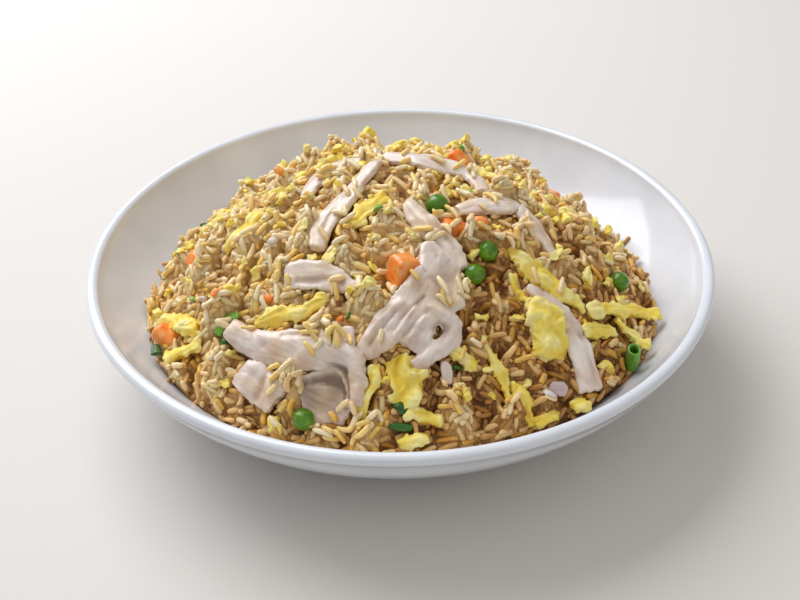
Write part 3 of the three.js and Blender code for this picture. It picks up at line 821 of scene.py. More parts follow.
def capsule(sides, rings):
    """A unit rod with softly pinched ends: places along it, sideways and up, and faces."""
    t = -np.cos(np.linspace(0, math.pi, rings + 2))[1:-1]
    t = np.sign(t) * np.abs(t) ** 0.8
    girth = (1 - np.abs(t) ** BLUNTNESS) ** 0.5
    angle = np.arange(sides) * 2 * math.pi / sides
    along = np.concatenate([[-1], np.repeat(t, sides), [1]])
    wide = np.concatenate([[0], np.outer(girth, np.cos(angle)).ravel(), [0]])
    high = np.concatenate([[0], np.outer(girth, np.sin(angle)).ravel(), [0]])
    faces = []
    for r in range(rings - 1):
        for k in range(sides):
            a, b = 1 + r * sides + k, 1 + r * sides + (k + 1) % sides
            faces += [(a, b, b + sides), (a, b + sides, a + sides)]
    first, last = 1 + (rings - 1) * sides, 1 + rings * sides
    for k in range(sides):
        n = (k + 1) % sides
        faces += [(0, 1 + n, 1 + k), (last, first + k, first + n)]
    return along, wide, high, np.array(faces)


def grain_mesh(name, rods, random, tones):
    """Joins one grain for each rod: bent a little, uneven in girth, turned about itself."""
    along, wide, high, faces = capsule(6, 6)
    around = np.arctan2(high, wide)
    # each value is a column, one row to a grain, so that it spreads over the grain's points
    x, y, z, heading, slope, half, radius = rods.T[:, :, None]
    column = (len(rods), 1)
    tilt = np.arctan(slope)
    roll = random.uniform(0, 2 * math.pi, column)
    bend = random.normal(0, 0.15, column) * half
    waist = random.uniform(0.0, 0.12, column)
    phase = random.uniform(0, 6.28, column)
    taper = random.uniform(-0.16, 0.16, column)
    flat = random.uniform(0.78, 0.95, column)
    girth = 1 + waist * np.sin(along * 4.2 + phase) + taper * along
    dimple = np.sin(3 * around + 5 * along + 3 * phase) + np.sin(2 * around - 8 * along + 5 * phase)
    girth = girth + 0.07 * dimple * (np.abs(along) < 1)
    w, h = wide * girth * radius, high * girth * (radius * flat)
    curve = bend * (along**2 - 0.4)
    sideways = w * np.cos(roll) - h * np.sin(roll) + curve * np.cos(roll)
    upward = w * np.sin(roll) + h * np.cos(roll) + curve * np.sin(roll)
    axis = np.stack([np.cos(tilt) * np.cos(heading), np.cos(tilt) * np.sin(heading), np.sin(tilt)], -1)
    side = np.stack([-np.sin(heading), np.cos(heading), 0 * heading], -1)
    up = np.cross(axis, side)
    points = np.stack([x, y, z], -1) + (along * half)[:, :, None] * axis
    points = points + sideways[:, :, None] * side + upward[:, :, None] * up
    points[:, :, 2] = np.minimum(points[:, :, 2], CEILING + 0.2)
    every = faces[None] + (np.arange(len(rods)) * len(along))[:, None, None]
    mesh = skin(name, points.reshape(-1, 3) * MM, every.reshape(-1, 3))
    tone = np.clip(tones, 0, 1)[:, None] + 0.06 * np.cos(along * 2.5 + phase)
    keep_value(mesh, "tint", tone.ravel())
    return mesh


def lump(size, squareness, rough, seed, rings, sides):
    """A closed lump in mm round the origin: from an egg to a worn cube by its squareness."""
    along, wide, high, faces = capsule(sides, rings)
    body = np.stack([along, wide, high], 1)
    body /= np.maximum(np.linalg.norm(body, axis=1), 1e-9)[:, None]
    body = body / (np.abs(body) ** squareness).sum(1)[:, None] ** (1 / squareness)
    points = body * np.asarray(size) / 2
    return points + drift(points, max(1.2, max(size) / 2.5), seed) * rough, faces


def joined(name, parts):
    """One mesh of many (own points, placed points, faces, tint) parts in mm."""
    faces, base = [], 0
    for own, _, polygons, _ in parts:
        faces.append(polygons + base)
        base += len(own)
    mesh = skin(name, np.concatenate([placed for _, placed, _, _ in parts]) * MM, np.concatenate(faces))
    keep_value(mesh, "tint", np.concatenate([np.full(len(own), tint) for own, _, _, tint in parts]))
    keep_value(mesh, "fibre", np.concatenate([own for own, _, _, _ in parts]) * MM)
    return mesh


# ---------- settings ----------
def length_prop(name, description, default):
    return FloatProperty(
        name=name, description=description, subtype="DISTANCE", unit="LENGTH", default=default
    )


def share_prop(name, description, default):
    return FloatProperty(
        name=name, description=description, subtype="FACTOR", default=default, min=0, max=1
    )


def power_prop(name, description, default):
    return FloatProperty(name=name, description=description, subtype="POWER", default=default)


def shade_prop(name, description, code):
    return FloatVectorProperty(
        name=name, description=description, subtype="COLOR", size=3, min=0, max=1, default=colour(code)[:3]
    )


class PlateSettings(bpy.types.PropertyGroup):
    rim_radius: length_prop("Rim radius", "Outermost point of the lip", PLATE_HIGH.x)
    height: length_prop("Height", "From the table to the top of the lip", PLATE_HIGH.z)
    step_depth: length_prop("Step depth", "Groove under the lip", 0.5 * MM)
    segments: IntProperty(name="Segments", description="Around the plate", default=192, min=48)
    glaze: shade_prop("Glaze", "Colour of the glaze", "#E9EEF4")
    roughness: share_prop("Roughness", "Of the glaze", 0.12)


class RiceSettings(bpy.types.PropertyGroup):
    grain_length: length_prop("Grain length", "Of an average grain", 7.2 * MM)
    grain_width: length_prop("Grain width", "Of an average grain", 2.3 * MM)
    most_grains: IntProperty(name="Most grains", description="Laid on the bed", default=12000, min=0)
    stuck_grains: IntProperty(name="Stuck grains", description="On the toppings' edges", default=30, min=0)
    oil: share_prop("Oil", "Strength of the oil film", 0.36)
    seed: IntProperty(name="Seed", description="Of the random lay of the grains", default=5)


class ToppingSettings(bpy.types.PropertyGroup):
    voxel: length_prop("Mesh size", "Edge of one mesh cell on a topping", 0.55 * MM)
    egg_crumple: length_prop("Egg crumple", "Depth of the folds in the egg", 0.55 * MM)
    meat_raggedness: length_prop("Meat raggedness", "How far torn edges wander", 0.8 * MM)


class StageSettings(bpy.types.PropertyGroup):
    floor: shade_prop("Floor", "Colour of the floor", "#E2DED8")
    lens: FloatProperty(name="Lens", description="Focal length of the camera in mm", default=50.6)
    key: power_prop("Key light", "Power of the window light", 19)
    ceiling: power_prop("Ceiling light", "Power of the wide light overhead", 4.5)
    fill: power_prop("Fill light", "Power of the warm fill", 1.0)


# ---------- places of the toppings' folds and of the crumbs ----------
def nodes_of(kind):
    """The frame's nodes whose names start with a kind."""
    return [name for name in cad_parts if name.split("_")[0] == kind]


TOPPINGS = [n for kind in ("chicken", "egg", "pea", "carrot", "scallion", "onion") for n in nodes_of(kind)]

# strokes (x, y, x, y, width, lift) in mm, seen from above, that fold or dent a piece; through the tint, what
# they sink is drawn darker as painted shade and what they raise paler as painted light
FOLDS = {
    "chicken_fold": [
        (-57, -58, -57, -58, 4, 0.8), (-52, -59, -47, -66, 1, -0.7), (-54, -60, -45, -66, 3, 0.8),
        (-45, -66, -34, -70, 3, 0.8), (-34, -71, -24, -74, 2.4, 1), (-24, -74, -17, -77, 2.4, 1.1),
        (-17, -77, -14, -82, 2.2, 1.1), (-14, -82, -15, -88, 2, 0.8), (-40, -65, -28, -67, 1, -0.7),
        # a groove under the band, drawn dark: a painted shadow line
        (-38, -76.2, -30, -77.4, 1.5, -1.5), (-30, -77.4, -23, -78.6, 1.8, -2.1),
        (-23, -78.6, -19.5, -80, 1.8, -2.1), (-19.5, -80, -18.5, -86, 1.4, -1.6),
        # a broad dent over the sheet under the band, drawn darker: painted shade
        (-30, -81, -23, -83, 6, -1.2),
    ],
    "chicken_square": [
        (-44, -71, -49, -79, 1.5, -0.8), (-50, -72, -53, -75, 3, 0.8), (-42, -79, -40, -78, 3, 0.6),
    ],
    "chicken_torn": [
        (8.4, -41, 8.3, -47, 1.8, 0.9), (8.3, -47, 3.5, -57, 1.8, 1), (16, -49, 15, -54, 5, -0.8),
        (26, -52, 20, -58, 2, 0.8), (8, -60, 0.3, -67.6, 0.7, -0.7), (0.3, -67.6, -2.5, -70.6, 0.7, -0.5),
        (9, -64, 0.8, -72, 0.7, -0.6), (6.4, -62, -1.2, -73.5, 0.6, -0.5), (5, -64, -1, -71, 0.9, 0.8),
        (8, -66, 3, -72, 0.9, 0.7), (-0.3, -62.5, -11.2, -71, 1.4, 0.8), (-2, -65.4, -10.5, -73, 0.9, -0.8),
        (9.8, -63, 18, -64, 1.6, 1), (18, -64, 18.5, -67.5, 1.5, 0.8), (13, -67, 12, -68, 2, -1.2),
        (12, -73.5, 7, -77, 1.3, 0.6), (13, -45, 12, -50, 1, -0.6), (20, -50, 19, -57, 1, 0.6),
    ],
    "chicken_long_right": [
        (46, -49, 58, -56, 1.6, 0.7), (58, -56, 62, -70, 1.6, 0.7), (63, -58, 67, -70, 1.4, -0.5),
    ],
    "chicken_strip_left": [(-10, 4, -22, -16, 1.6, 0.8), (-22, -16, -27, -30, 1.2, -0.7)],
    "chicken_strip_mid": [(4, -21, 13, -36, 1.8, 0.8), (10, -26, 19, -40, 1.2, -0.7)],
    "chicken_flat_left": [(-38, -42, -24, -46, 1.6, 0.8), (-36, -48, -20, -52, 1.1, -0.7)],
    "egg_lump": [
        (45, -52, 48, -53, 2, 0.8), (45, -58, 50, -64, 2.4, 0.9), (48, -56, 54, -57, 1.3, -1.1),
        (55, -54, 57, -61, 1.8, 0.9), (46, -61, 44, -65, 1.6, -0.8),
    ],
    "egg_torn": [
        (-2, -77, -1, -84, 1.3, -1.0), (1, -79, 5, -86, 2.0, 0.9), (3, -78, 7, -83, 1.2, -0.9),
        (-3, -80, -3, -85, 1.6, 0.7), (0, -86, 5, -84, 1.3, -0.8),
    ],
}

# (x, y, grains, spread) in mm of the clumps of rice that stuck to the toppings
CLUMPS_ON_TOP = [
    (-30, -67, 5, 4.0), (-26, -69.5, 6, 4.5), (-22, -72, 3, 3.0), (-27, -65, 3, 4.0),
    (-39, -78, 9, 5.0), (-36, -82, 9, 5.0), (-41, -74, 4, 4.0), (-37, -86, 6, 5.0),
    (13, -59, 4, 3.0), (22, -54, 3, 2.0), (-3, -55, 3, 1.5), (-14, 12, 4, 5.0), (-26, 6, 4, 4.0),
    (3, 12, 4, 4.0), (16, 9, 5, 5.0), (27, 6, 3, 3.5), (-18, -9, 2, 2.0),
    (33, -42, 4, 2.0), (24, -49, 2, 2.0), (12, -37, 2, 2.0), (22, -9, 5, 4), (-19, -24, 3, 2.5),
    (-22, -54, 3, 3.0), (-62, -53, 3, 2.0), (19, -29, 6, 4),
    (-25, -92, 6, 3.0), (-18, -92, 6, 3.0),
]

# (x, y, spread) in mm of where the rice is drawn darker: where the sauce gathered, and painted shade on the
# front and right of the heap
SAUCE_AND_SHADE = [
    (22, -68, 14), (45, -85, 16), (35, -35, 13), (62, -15, 16), (-28, -12, 12), (5, -86, 14),
    (75, -60, 12),
]

# (x, y, length) in mm of the crumbs that show among the grains
EGG_CRUMBS = [
    (-91, -27, 7), (-84, -37, 7), (-93, -10, 6), (-70, -33, 4), (-60, -45, 6), (-57, -41, 4),
    (-61, -70, 5), (-66, -56, 6), (-44, -86, 7), (-19, -56, 6), (-11, -60, 5), (-33, -89, 5),
    (-27, -88, 6), (9, -94, 6), (21, -85, 4), (40, -54, 4), (27, -60, 6), (73, -63, 6),
    (-11, 25, 9), (9, 30, 5), (17, 26, 6), (10, 1, 8), (24, -3, 6), (12, -25, 7), (20, -24, 6),
    (32, -41, 6), (2, -34, 7), (-17, -40, 7), (-23, -42, 6), (-21, -22, 6), (33, 15, 7),
    (38, 9, 7), (52, -13, 6), (56, -34, 6), (-75, 8, 9), (-86, 1, 7), (-80, -17, 4),
    (-30, -28, 8), (-43, -21, 6), (-24, -41, 6), (-71, 34, 8), (-93, -4, 6), (60, 20, 6),
    (-60, 10, 8), (-52, 18, 9), (-45, 8, 7), (-66, 20, 8), (-40, 22, 8), (-35, 12, 8), (-58, 28, 8),
    (-30, 20, 7), (-78, -2, 7), (-50, 0, 6), (-84, -14, 7), (-22, 24, 6), (-63, -8, 5),
]
SCALLION_FLECKS = [
    (-76, -31, 5), (-49, -52, 7), (-62, -57, 5), (-51, -67, 5), (-18, -63, 3), (-1, -88, 7),
    (19, -75, 4), (28, -48, 6), (42, -50, 6), (67, -58, 6), (69, -39, 4), (37, -88, 6),
    (-19, 15, 6), (25, -11, 3), (36, -42, 7), (-7, -24, 5), (62, 17, 7), (-67, -1, 6),
    (-65, -18, 5), (-56, -33, 5),
]
CARROT_CRUMBS = [(-45, -47, 4), (-7, 30, 5), (21, -29, 6), (29, -29, 6), (-44, -4, 5), (-20, -60, 3)]
ONION_SLIVERS = [
    (-81, -25, 6), (-72, -35, 5), (-72, -42, 8), (-57, -49, 7), (49, -79, 6), (8, -8, 7),
    (-65, -16, 6), (15, -76, 7), (1, -52, 7),
]

# tints of the cut scallion and shallot, from deep (0) to pale (1)
CUT_TINTS = {
    "onion_front": 0.7, "scallion_tube": 0.5, "scallion_light": 0.62, "scallion_left": 0.15,
    "scallion_front": 0.2,
}
CUT_CELL = 0.3 * MM  # of their meshes, as they are thin
# colours of the grains from their browned parts to their palest, at GRAIN_STOPS of their tone
GRAIN_STOPS = (0.0, 0.35, 0.7, 1.0)
GRAIN_TONES = {
    "pale": ("#C09050", "#E2BC7E", "#F2D8A4", "#F8E5BE"),
    "straw": ("#B88442", "#DCB06A", "#EECA8A", "#F5DCAA"),
    "golden": ("#B0782C", "#D6A244", "#ECC15E", "#F5D688"),
    # the darkest kind, taken by grains buried in the gaps: soaked with sauce, and painted shade
    "soaked": ("#8A5A20", "#B07E3C", "#D4A868", "#EACA96"),
}
LIT_POINT = Vector((0, 0, 0.03))  # at which the lights are aimed, in metres
CAMERA_PLACE = Vector((-0.2, -367.7, 284.5))  # in mm
CAMERA_PITCH = math.radians(35.84)
CAMERA_ROLL = math.radians(-1.11)


def sauce_and_shade_at(x, y):
    """How much the rice is darkened at a place, from 0 to 1: by the sauce that it took up, and by painted
    shade on the front and right of the heap.
    """
    return np.minimum(1, sum(np.exp(-((x - u) ** 2 + (y - v) ** 2) / spread**2) for u, v, spread in SAUCE_AND_SHADE))


def side_light(x, z):
    """Painted light: rice is drawn paler high on the heap and to its left, where the window light falls, and
    darker low down and to its right.
    """
    return 0.2 * np.clip((z - 46) / 25, -1, 1) - 0.13 * np.clip(x / 80, -1, 1)


# ---------- crumbs ----------
def spread_spots(count, first, sizes, random):
    """Even spots over the heap, the large ones beyond its crest alone."""
    golden = math.pi * (3 - math.sqrt(5))
    spots = []
    for i in range(count):
        away, angle = 92 * math.sqrt((i + 0.5) / count), first + i * golden
        x, y = away * math.cos(angle), away * math.sin(angle)
        size = random.uniform(*sizes)
        if y > 5 or size < 0.75 * sizes[1]:
            spots.append((x + random.normal(0, 3), y + random.normal(0, 3), size))
    return spots


def egg_crumb(size, random):
    """Points in mm, faces and tint of a torn bit of egg."""
    shape = (size, size * random.uniform(0.5, 0.85), size * random.uniform(0.3, 0.5))
    seed = random.uniform(0, 50)
    own, faces = lump(shape, 2.0, 0.26 * size, seed, 11, 15)
    own = own + drift(own, 1.6, seed + 9) * 0.1 * size
    own[:, 2] += random.uniform(-0.06, 0.06) * own[:, 0] ** 2
    return own, faces, random.uniform(0.35, 0.75)


def carrot_crumb(size, random):
    """A small uneven die of carrot."""
    shape = (size, size * random.uniform(0.7, 0.9), size * random.uniform(0.6, 0.8))
    own, faces = lump(shape, 4.0, 0.08 * size, random.uniform(0, 50), 12, 16)
    return own, faces, 0.5


def curved_sliver(size, random, wall, span):
    """A short arc of a ring, as a knife leaves of a hollow leaf or an onion layer."""
    around, across, radius = 14, 3, size * random.uniform(0.4, 0.55)
    width = size * random.uniform(0.35, 0.6)
    arc = span * random.uniform(0.7, 1.1)
    points, faces = [], []
    for k in range(around):
        along = k / (around - 1)
        a, swell = arc * (along - 0.5), math.sin(math.pi * along)
        thin = wall * (0.35 + 0.65 * swell**0.5)
        for r in (radius + thin / 2, radius - thin / 2):
            for w in np.linspace(-0.5, 0.5, across):
                points.append((r * math.sin(a), w * width * (0.8 + 0.2 * swell), r * math.cos(a)))
    points = np.array(points)
    points[:, 2] -= points[:, 2].mean()
    points += drift(points, 2.5, random.uniform(0, 50)) * 0.08 * size

    def patch(order, *corners):
        """Two triangles over four (step along the arc, layer, step across) corners."""
        a, b, c, d = [(k * 2 + layer) * across + w for k, layer, w in corners][::order]
        faces.extend([(a, b, c), (a, c, d)])

    for k in range(around - 1):
        for w in range(across - 1):
            for layer, order in ((0, 1), (1, -1)):
                patch(order, (k, layer, w), (k + 1, layer, w), (k + 1, layer, w + 1), (k, layer, w + 1))
        for w, order in ((0, -1), (across - 1, 1)):
            patch(order, (k, 0, w), (k + 1, 0, w), (k + 1, 1, w), (k, 1, w))
    for k, order in ((0, 1), (around - 1, -1)):
        for w in range(across - 1):
            patch(order, (k, 0, w), (k, 0, w + 1), (k, 1, w + 1), (k, 1, w))
    return points, np.array(faces)


def scallion_fleck(size, random):
    """A slice of scallion, from dark green to pale."""
    tint = random.choice([0.1, 0.2, 0.3, 0.55, 0.75])
    return *curved_sliver(size, random, 0.9, 2.2), tint


def onion_sliver(size, random):
    """A slice of shallot, purple or pale."""
    tint = random.uniform(0.25, 0.95)
    return *curved_sliver(size, random, 1.0, 1.6), tint


# how each is made, its material, slot, spots that show, and the count and sizes of the rest
CRUMB_KINDS = {
    "egg_crumbs": (egg_crumb, scrambled_egg, "egg", EGG_CRUMBS, 330, (3, 7.5)),
    "scallion_flecks": (scallion_fleck, scallion_green, "scallion", SCALLION_FLECKS, 9, (3, 5.5)),
    "carrot_crumbs": (carrot_crumb, cooked_carrot, "carrot", CARROT_CRUMBS, 6, (3, 4.5)),
    "onion_slivers": (onion_sliver, cooked_shallot, "onion", ONION_SLIVERS, 14, (4, 7)),
}
# (x, y, size) in mm of the crumbs that lie on top of the larger pieces
ON_TOP = {
    "egg_crumbs": [
        (22, 9, 6), (2, 14, 6), (-20, 12, 5), (12, 8, 5), (-29, 10, 5), (30, 2, 5), (-16, -4, 5),
        (65, -47.6, 6),
    ],
    "onion_slivers": [(-3, -47, 7)],
    "scallion_flecks": [(-19, 14, 6)],
}


# ---------- steps ----------
class FRIEDRICE_OT_plate(bpy.types.Operator):
    """Turn the glazed plate with its rolled lip and foot ring"""

    bl_idname = "fried_rice.plate"
    bl_label = "Plate"

    def execute(self, context):
        own = context.scene.fried_rice_plate
        rim, height, groove = own.rim_radius / MM, own.height / MM, own.step_depth / MM
        profile = [(FLAT_RADIUS * k / 8, PLATE_FLOOR) for k in range(1, 8)]
        for radius in [FLAT_RADIUS + WALL_RUN * k / 28 for k in range(29)]:
            profile.append((radius, float(plate_surface(radius))))
        for k in range(1, 17):
            a = math.pi - (k / 16) * LIP_ROLL
            across, rise = LIP_WIDTH / 2 * (math.cos(a) - 1), LIP_HEIGHT / 2 * (math.sin(a) - 1)
            profile.append((rim + across, height + rise))
        outer_radius = WALL_RADIUS + WALL_THICKNESS
        steepest = math.asin((rim - LIP_INSET - FLAT_RADIUS) / outer_radius)
        outer = []
        for a in [steepest * (1 - k / 25) for k in range(25)]:
            drop = outer_radius * math.cos(a)
            outer.append([FLAT_RADIUS + outer_radius * math.sin(a), PLATE_FLOOR + WALL_RADIUS - drop])
        outer = [p for p in outer if p[0] > FOOT_RADIUS + FOOT_FILLET]
        outer[0][0] -= groove
        outer[0][1] -= 0.2
        inside = FOOT_RADIUS - FOOT_WIDTH
        foot = [
            (FOOT_RADIUS + 0.8, FOOT_HEIGHT + 0.35), (FOOT_RADIUS + 0.1, FOOT_HEIGHT - 0.4),
            (FOOT_RADIUS, 0.7), (FOOT_RADIUS - 0.2, 0.25), (FOOT_RADIUS - 0.7, 0), (inside + 0.7, 0),
            (inside + 0.2, 0.25), (inside, 0.7), (inside, FOOT_HEIGHT - 0.6), (inside - 0.6, FOOT_HEIGHT),
            (inside * 0.66, FOOT_HEIGHT), (inside * 0.33, FOOT_HEIGHT),
        ]
        profile += outer + foot
        angle = np.arange(own.segments) * 2 * math.pi / own.segments
        points = [np.array([(0, 0, PLATE_FLOOR), (0, 0, FOOT_HEIGHT)])]
        for r, z in profile:
            points.append(np.stack([r * np.cos(angle), r * np.sin(angle), 0 * angle + z], 1))
        faces = ringed_faces(len(profile), own.segments)
        mesh = skin("plate_glazed", np.concatenate(points) * MM, faces)
        show("plate_glazed", mesh, glazed_porcelain(own.glaze, own.roughness), "porcelain", "plate")
        mesh.materials.append(bare_porcelain())
        for polygon in mesh.polygons:
            if polygon.center.z < 0.3 * MM:
                polygon.material_index = 1
        return {"FINISHED"}


class FRIEDRICE_OT_chicken(bpy.types.Operator):
    """Dress the slices of chicken: eased corners, fibres and torn edges"""

    bl_idname = "fried_rice.chicken"
    bl_label = "Chicken"

    def execute(self, context):
        own = context.scene.fried_rice_toppings
        ragged = own.meat_raggedness / MM

        def push(points, normals, fibre, edge):
            strands = ripples(fibre, (14, 1.3, 1.3), 4.0)
            bundles = ripples(fibre, (22, 5, 5), 9.0)
            split = np.clip(1 - np.abs(bundles) / 0.09, 0, 1)
            torn = ripples(fibre, (5, 2.2, 3), 6.0) - 0.1 + 0.8 * ripples(points, 1.3, 3.0)
            depth = 0.1 * strands + 0.35 * ripples(points, 6.0, 1.0) - 0.18 * split
            swell = normals * (depth + 0.3 + ragged * edge * torn)[:, None]
            return swell + drift(points, 5.0, 2.0) * ragged * 0.5

        for node in nodes_of("chicken"):
            dress(node, "_slice", poached_chicken(), "chicken", own.voxel, smoothing=4, push=push)
        return {"FINISHED"}


class FRIEDRICE_OT_egg(bpy.types.Operator):
    """Dress the curds and ribbons of egg: crumpled, porous and soft"""

    bl_idname = "fried_rice.egg"
    bl_label = "Egg"

    def execute(self, context):
        own = context.scene.fried_rice_toppings
        crumple = own.egg_crumple / MM

        def push(points, normals, fibre, edge):
            creases = np.abs(ripples(fibre, (9, 1.9, 1.9), 5.0)) * 2.6 - 0.7
            fine = ripples(points, 1.5, 7.0) + 0.7 * np.abs(ripples(fibre, (5, 1.1, 1.1), 2.0))
            torn = 1.4 * ripples(points, 3.2, 2.0) + 1.3 * ripples(points, 1.3, 9.0)
            depth = crumple * creases + 0.3 * fine + 2.2 * crumple * edge * torn
            return normals * (depth + 0.4)[:, None] + drift(points, 7.0, 3.0) * crumple * 3.6

        for node in nodes_of("egg"):
            dress(node, "_curd", scrambled_egg(), "egg", own.voxel, smoothing=10, push=push)
        return {"FINISHED"}


class FRIEDRICE_OT_peas(bpy.types.Operator):
    """Dress the peas: round, with soft dimples"""

    bl_idname = "fried_rice.peas"
    bl_label = "Peas"

    def execute(self, context):
        own = context.scene.fried_rice_toppings

        def push(points, normals, fibre, edge):
            return normals * (0.1 + 0.14 * ripples(points, 3.0, 6.0))[:, None]

        for node in nodes_of("pea"):
            dress(node, "_skin", cooked_pea(), "pea", own.voxel, smoothing=10, push=push)
        return {"FINISHED"}


class FRIEDRICE_OT_carrot(bpy.types.Operator):
    """Dress the diced carrot: worn corners and a slightly uneven cut"""

    bl_idname = "fried_rice.carrot"
    bl_label = "Carrot"

    def execute(self, context):
        own = context.scene.fried_rice_toppings

        def push(points, normals, fibre, edge):
            uneven = 0.3 + 0.35 * ripples(points, 3.5, 2.0) + 0.12 * ripples(points, 1.4, 4.0)
            return normals * uneven[:, None]

        for node in nodes_of("carrot"):
            dress(node, "_dice", cooked_carrot(), "carrot", own.voxel, smoothing=10, push=push)
        return {"FINISHED"}


class FRIEDRICE_OT_greens(bpy.types.Operator):
    """Dress the cut scallion and shallot"""

    bl_idname = "fried_rice.greens"
    bl_label = "Scallion and shallot"

    def execute(self, context):
        def push(points, normals, fibre, edge):
            return normals * (0.08 + 0.12 * ripples(points, 2.5, 8.0))[:, None]

        for kind, material in (("scallion", scallion_green()), ("onion", cooked_shallot())):
            for node in nodes_of(kind):
                # the thin rings are eased less, or they would close
                smoothing = 4 if "tube" in node or "far" in node else 12
                mesh = dress(node, "_cut", material, kind, CUT_CELL, smoothing, push)
                tint = np.full(len(mesh.vertices), CUT_TINTS.get(node, 0.4), np.float32)
                mesh.attributes["tint"].data.foreach_set("value", tint)
        return {"FINISHED"}


class FRIEDRICE_OT_rice(bpy.types.Operator):
    """Lay the rice: a browned bed, thousands of loose grains, and the crumbs among them"""

    bl_idname = "fried_rice.rice"
    bl_label = "Rice and crumbs"

    def execute(self, context):
        own = context.scene.fried_rice_rice
        random = np.random.default_rng(own.seed)
        heap = Heap()
        for node in TOPPINGS:
            heap.lay_topping(node, TUCKED_CELLS)
        heap.calm()
        half, radius = own.grain_length / MM / 2, own.grain_width / MM / 2
        # grains vary, and some are broken
        size = (half * 0.6, half * 1.14, radius * 0.84, radius * 1.1)
        laid, misses = [], 0
        crumbs = {name: [] for name in CRUMB_KINDS}
        among = {
            name: spots + spread_spots(extra, len(name), sizes, random)
            for name, (_, _, _, spots, extra, sizes) in CRUMB_KINDS.items()
        }
        while len(laid) < own.most_grains and misses < MOST_MISSES:
            if among and len(laid) % 50 == 0 and heap.filled() > CRUMBS_AT:
                self.lay_crumbs(heap, random, crumbs, among)
                among = None
            rod = heap.drop(random, tries=9, size=size, over=0.9)
            if rod is None:
                misses += 1
                continue
            misses = 0
            laid.append((heap.laid - 1, rod))
        if among:
            self.lay_crumbs(heap, random, crumbs, among)
        loose = len(laid)
        # the buried ones show an end or a part of their length
        laid += heap.bury(random, (2.0, 3.4, radius * 0.8, radius * 1.05))
        buried = len(laid)
        show("rice_bed", bed_mesh(heap), browned_bed(), "rice", "rice")
        heap.open_over()
        spots = stuck_spots(heap, random, own.stuck_grains)
        self.lay_crumbs(heap, random, crumbs, ON_TOP)
        for spot in spots:
            rod = heap.drop(random, tries=8, size=size, over=99, spot=spot, steep=1.1)
            if rod is not None:
                laid.append((heap.laid - 1, rod))
        for name, parts in crumbs.items():
            _, material, slot, *_ = CRUMB_KINDS[name]
            show(name, joined(name, parts), material(), slot, "rice")
        seen = np.bincount(heap.owner[heap.owner >= 0].ravel(), minlength=heap.laid)
        keep = np.array([seen[number] >= SEEN_CELLS for number, _ in laid])
        # the grains buried in the gaps, drawn dark for sauce and as painted shade
        soaked = np.zeros(len(laid), bool)
        soaked[loose:buried] = True
        rods = np.array([rod for _, rod in laid])
        self.show_grains(rods[keep], soaked[keep], heap, random, own.oil)
        return {"FINISHED"}

    def lay_crumbs(self, heap, random, laid, places):
        """Lays each kind's crumbs at its (x, y, size) places, where they find room."""
        for name, spots in places.items():
            for x, y, size in spots:
                half, radius = 0.42 * size, 0.26 * size
                own_size = (half, half, radius, radius)
                rod = heap.drop(random, tries=6, size=own_size, over=3.0, spot=(x, y))
                if rod is None:
                    continue
                heap.crumbs.append(heap.laid - 1)
                own, faces, tint = CRUMB_KINDS[name][0](size, random)
                tilt = Matrix.Rotation(rod[3], 3, "Z") @ Matrix.Rotation(-math.atan(rod[4]), 3, "Y")
                turn = np.array(tilt @ Matrix.Rotation(random.normal(0, 0.5), 3, "X"))
                placed = own @ turn.T + np.array(rod[:3])
                placed[:, 2] -= max(0, placed[:, 2].max() - CEILING)
                laid[name].append((own, placed, faces, tint))

    def show_grains(self, rods, soaked, heap, random, oil):
        """Sorts the grains into kinds and tones them by how far they stand out: painted shade on the sunk and
        low ones, painted light on those that stand out.
        """
        chance = random.uniform(0, 1, len(rods))
        kind = np.digitize(chance, (0.32, 0.7))
        # grains buried in the gaps mostly take the darkest kind: sauce, and painted shade
        kind[soaked & (chance > 0.3)] = 3
        x, y, z = rods[:, :3].T
        spot = heap.cells(x, y)
        # painted shade and light: grains sunk among their neighbours or low on the heap are drawn darker and
        # those standing out paler, with more painted shade on the front and right and painted light on the
        # top and left
        raised = np.clip(z - heap.eased(16)[spot], -2.5, 2)
        swell = np.clip(z - heap.mound[spot], -5, 4)
        clump = ripples(rods[:, :3], 14.0, 6.0)
        tone = 0.64 + 0.05 * raised + 0.09 * swell + 0.24 * clump - 0.4 * sauce_and_shade_at(x, y) + side_light(x, z)
        tone += random.normal(0, 0.11, len(rods))
        for k, (name, codes) in enumerate(GRAIN_TONES.items()):
            mine = kind == k
            mesh = grain_mesh("grains_" + name, rods[mine], random, tone[mine])
            material = cooked_rice("cooked_rice_" + name, list(zip(GRAIN_STOPS, codes)), oil)
            show("grains_" + name, mesh, material, "rice", "rice")


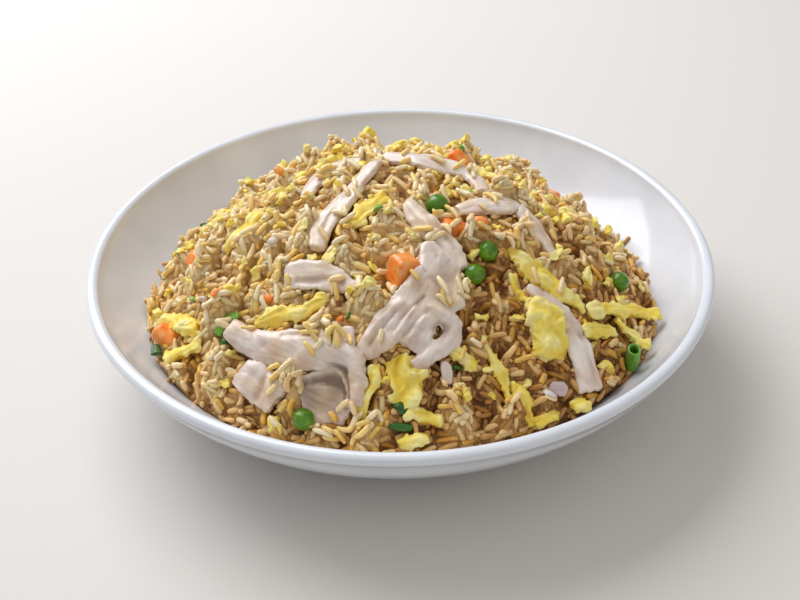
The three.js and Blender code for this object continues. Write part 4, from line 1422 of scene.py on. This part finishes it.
class FRIEDRICE_OT_stage(bpy.types.Operator):
    """Set the pale floor, the soft window light and the camera"""

    bl_idname = "fried_rice.stage"
    bl_label = "Stage"

    def execute(self, context):
        own, scene = context.scene.fried_rice_stage, context.scene
        reach = 3.0  # metres of floor on each side
        corners = [(-reach, -reach, 0), (reach, -reach, 0), (reach, reach, 0), (-reach, reach, 0)]
        floor = bpy.data.objects.new("floor", skin("floor", corners, [(0, 1, 2, 3)], False))
        values = {"Base Color": (*own.floor, 1), "Roughness": 0.9}
        floor.data.materials.append(make_material("matt_backdrop_paper", values))
        scene.collection.objects.link(floor)
        # name, power in watts, colour, size and place in metres
        for name, watts, tint, size, place in (
            ("window", own.key, (0.95, 0.955, 1.0), 1.15, (-0.6, 0.7, 0.95)),
            ("ceiling", own.ceiling, (1.0, 0.98, 0.95), 2.0, (-0.1, -0.35, 1.2)),
            ("warm_fill", own.fill, (1.0, 0.9, 0.78), 0.8, (0.8, -0.5, 0.45)),
        ):
            lamp = bpy.data.lights.new(name, "AREA")
            lamp.energy, lamp.size, lamp.color = watts, size, tint
            made = bpy.data.objects.new(name, lamp)
            made.location = place
            made.rotation_euler = (LIT_POINT - Vector(place)).to_track_quat("-Z", "Y").to_euler()
            scene.collection.objects.link(made)
        scene.world = bpy.data.worlds.new("soft_room")
        scene.world.use_nodes = True
        sky = scene.world.node_tree.nodes["Background"]
        sky.inputs["Color"].default_value = colour("#F4F3F6")
        sky.inputs["Strength"].default_value = 0.31
        scene.view_settings.view_transform = "Standard"
        ahead = Vector((0, math.cos(CAMERA_PITCH), -math.sin(CAMERA_PITCH)))
        level, above = Vector((1, 0, 0)), Vector((0, math.sin(CAMERA_PITCH), math.cos(CAMERA_PITCH)))
        right = math.cos(CAMERA_ROLL) * level + math.sin(CAMERA_ROLL) * above
        up = math.cos(CAMERA_ROLL) * above - math.sin(CAMERA_ROLL) * level
        camera = bpy.data.objects.new("camera", bpy.data.cameras.new("camera"))
        camera.data.lens = own.lens
        camera.data.sensor_width = 36
        turn = Matrix((right, up, -ahead)).transposed().to_4x4()
        camera.matrix_world = Matrix.Translation(CAMERA_PLACE * MM) @ turn
        scene.collection.objects.link(camera)
        scene.camera = camera
        return {"FINISHED"}


class FRIEDRICE_PT_panel(bpy.types.Panel):
    """Lists the steps that dress the plate"""

    bl_label = "Fried Rice Plate"
    bl_idname = "FRIEDRICE_PT_panel"
    bl_space_type = "VIEW_3D"
    bl_region_type = "UI"
    bl_category = "Fried Rice"

    def draw(self, context):
        for name, _, operators in STEPS:
            box = self.layout.box()
            group = getattr(context.scene, name)
            for setting in group.__annotations__:
                box.prop(group, setting)
            for operator in operators:
                box.operator(operator.bl_idname)


# where the scene keeps each group of settings, and the steps that they serve, in order
STEPS = [
    ("fried_rice_plate", PlateSettings, [FRIEDRICE_OT_plate]),
    (
        "fried_rice_toppings",
        ToppingSettings,
        [FRIEDRICE_OT_chicken, FRIEDRICE_OT_egg, FRIEDRICE_OT_peas, FRIEDRICE_OT_carrot, FRIEDRICE_OT_greens],
    ),
    ("fried_rice_rice", RiceSettings, [FRIEDRICE_OT_rice]),
    ("fried_rice_stage", StageSettings, [FRIEDRICE_OT_stage]),
]
CLASSES = [item for _, group, operators in STEPS for item in (group, *operators)] + [FRIEDRICE_PT_panel]


def register():
    for item in CLASSES:
        bpy.utils.register_class(item)
    for name, group, _ in STEPS:
        setattr(bpy.types.Scene, name, PointerProperty(type=group))


def unregister():
    for name, _, _ in STEPS:
        delattr(bpy.types.Scene, name)
    for item in reversed(CLASSES):
        bpy.utils.unregister_class(item)


def main():
    """Registers the add-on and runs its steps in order."""
    register()
    for _, _, operators in STEPS:
        for operator in operators:
            group, name = operator.bl_idname.split(".")
            getattr(getattr(bpy.ops, group), name)()


if __name__ == "__main__":
    main()
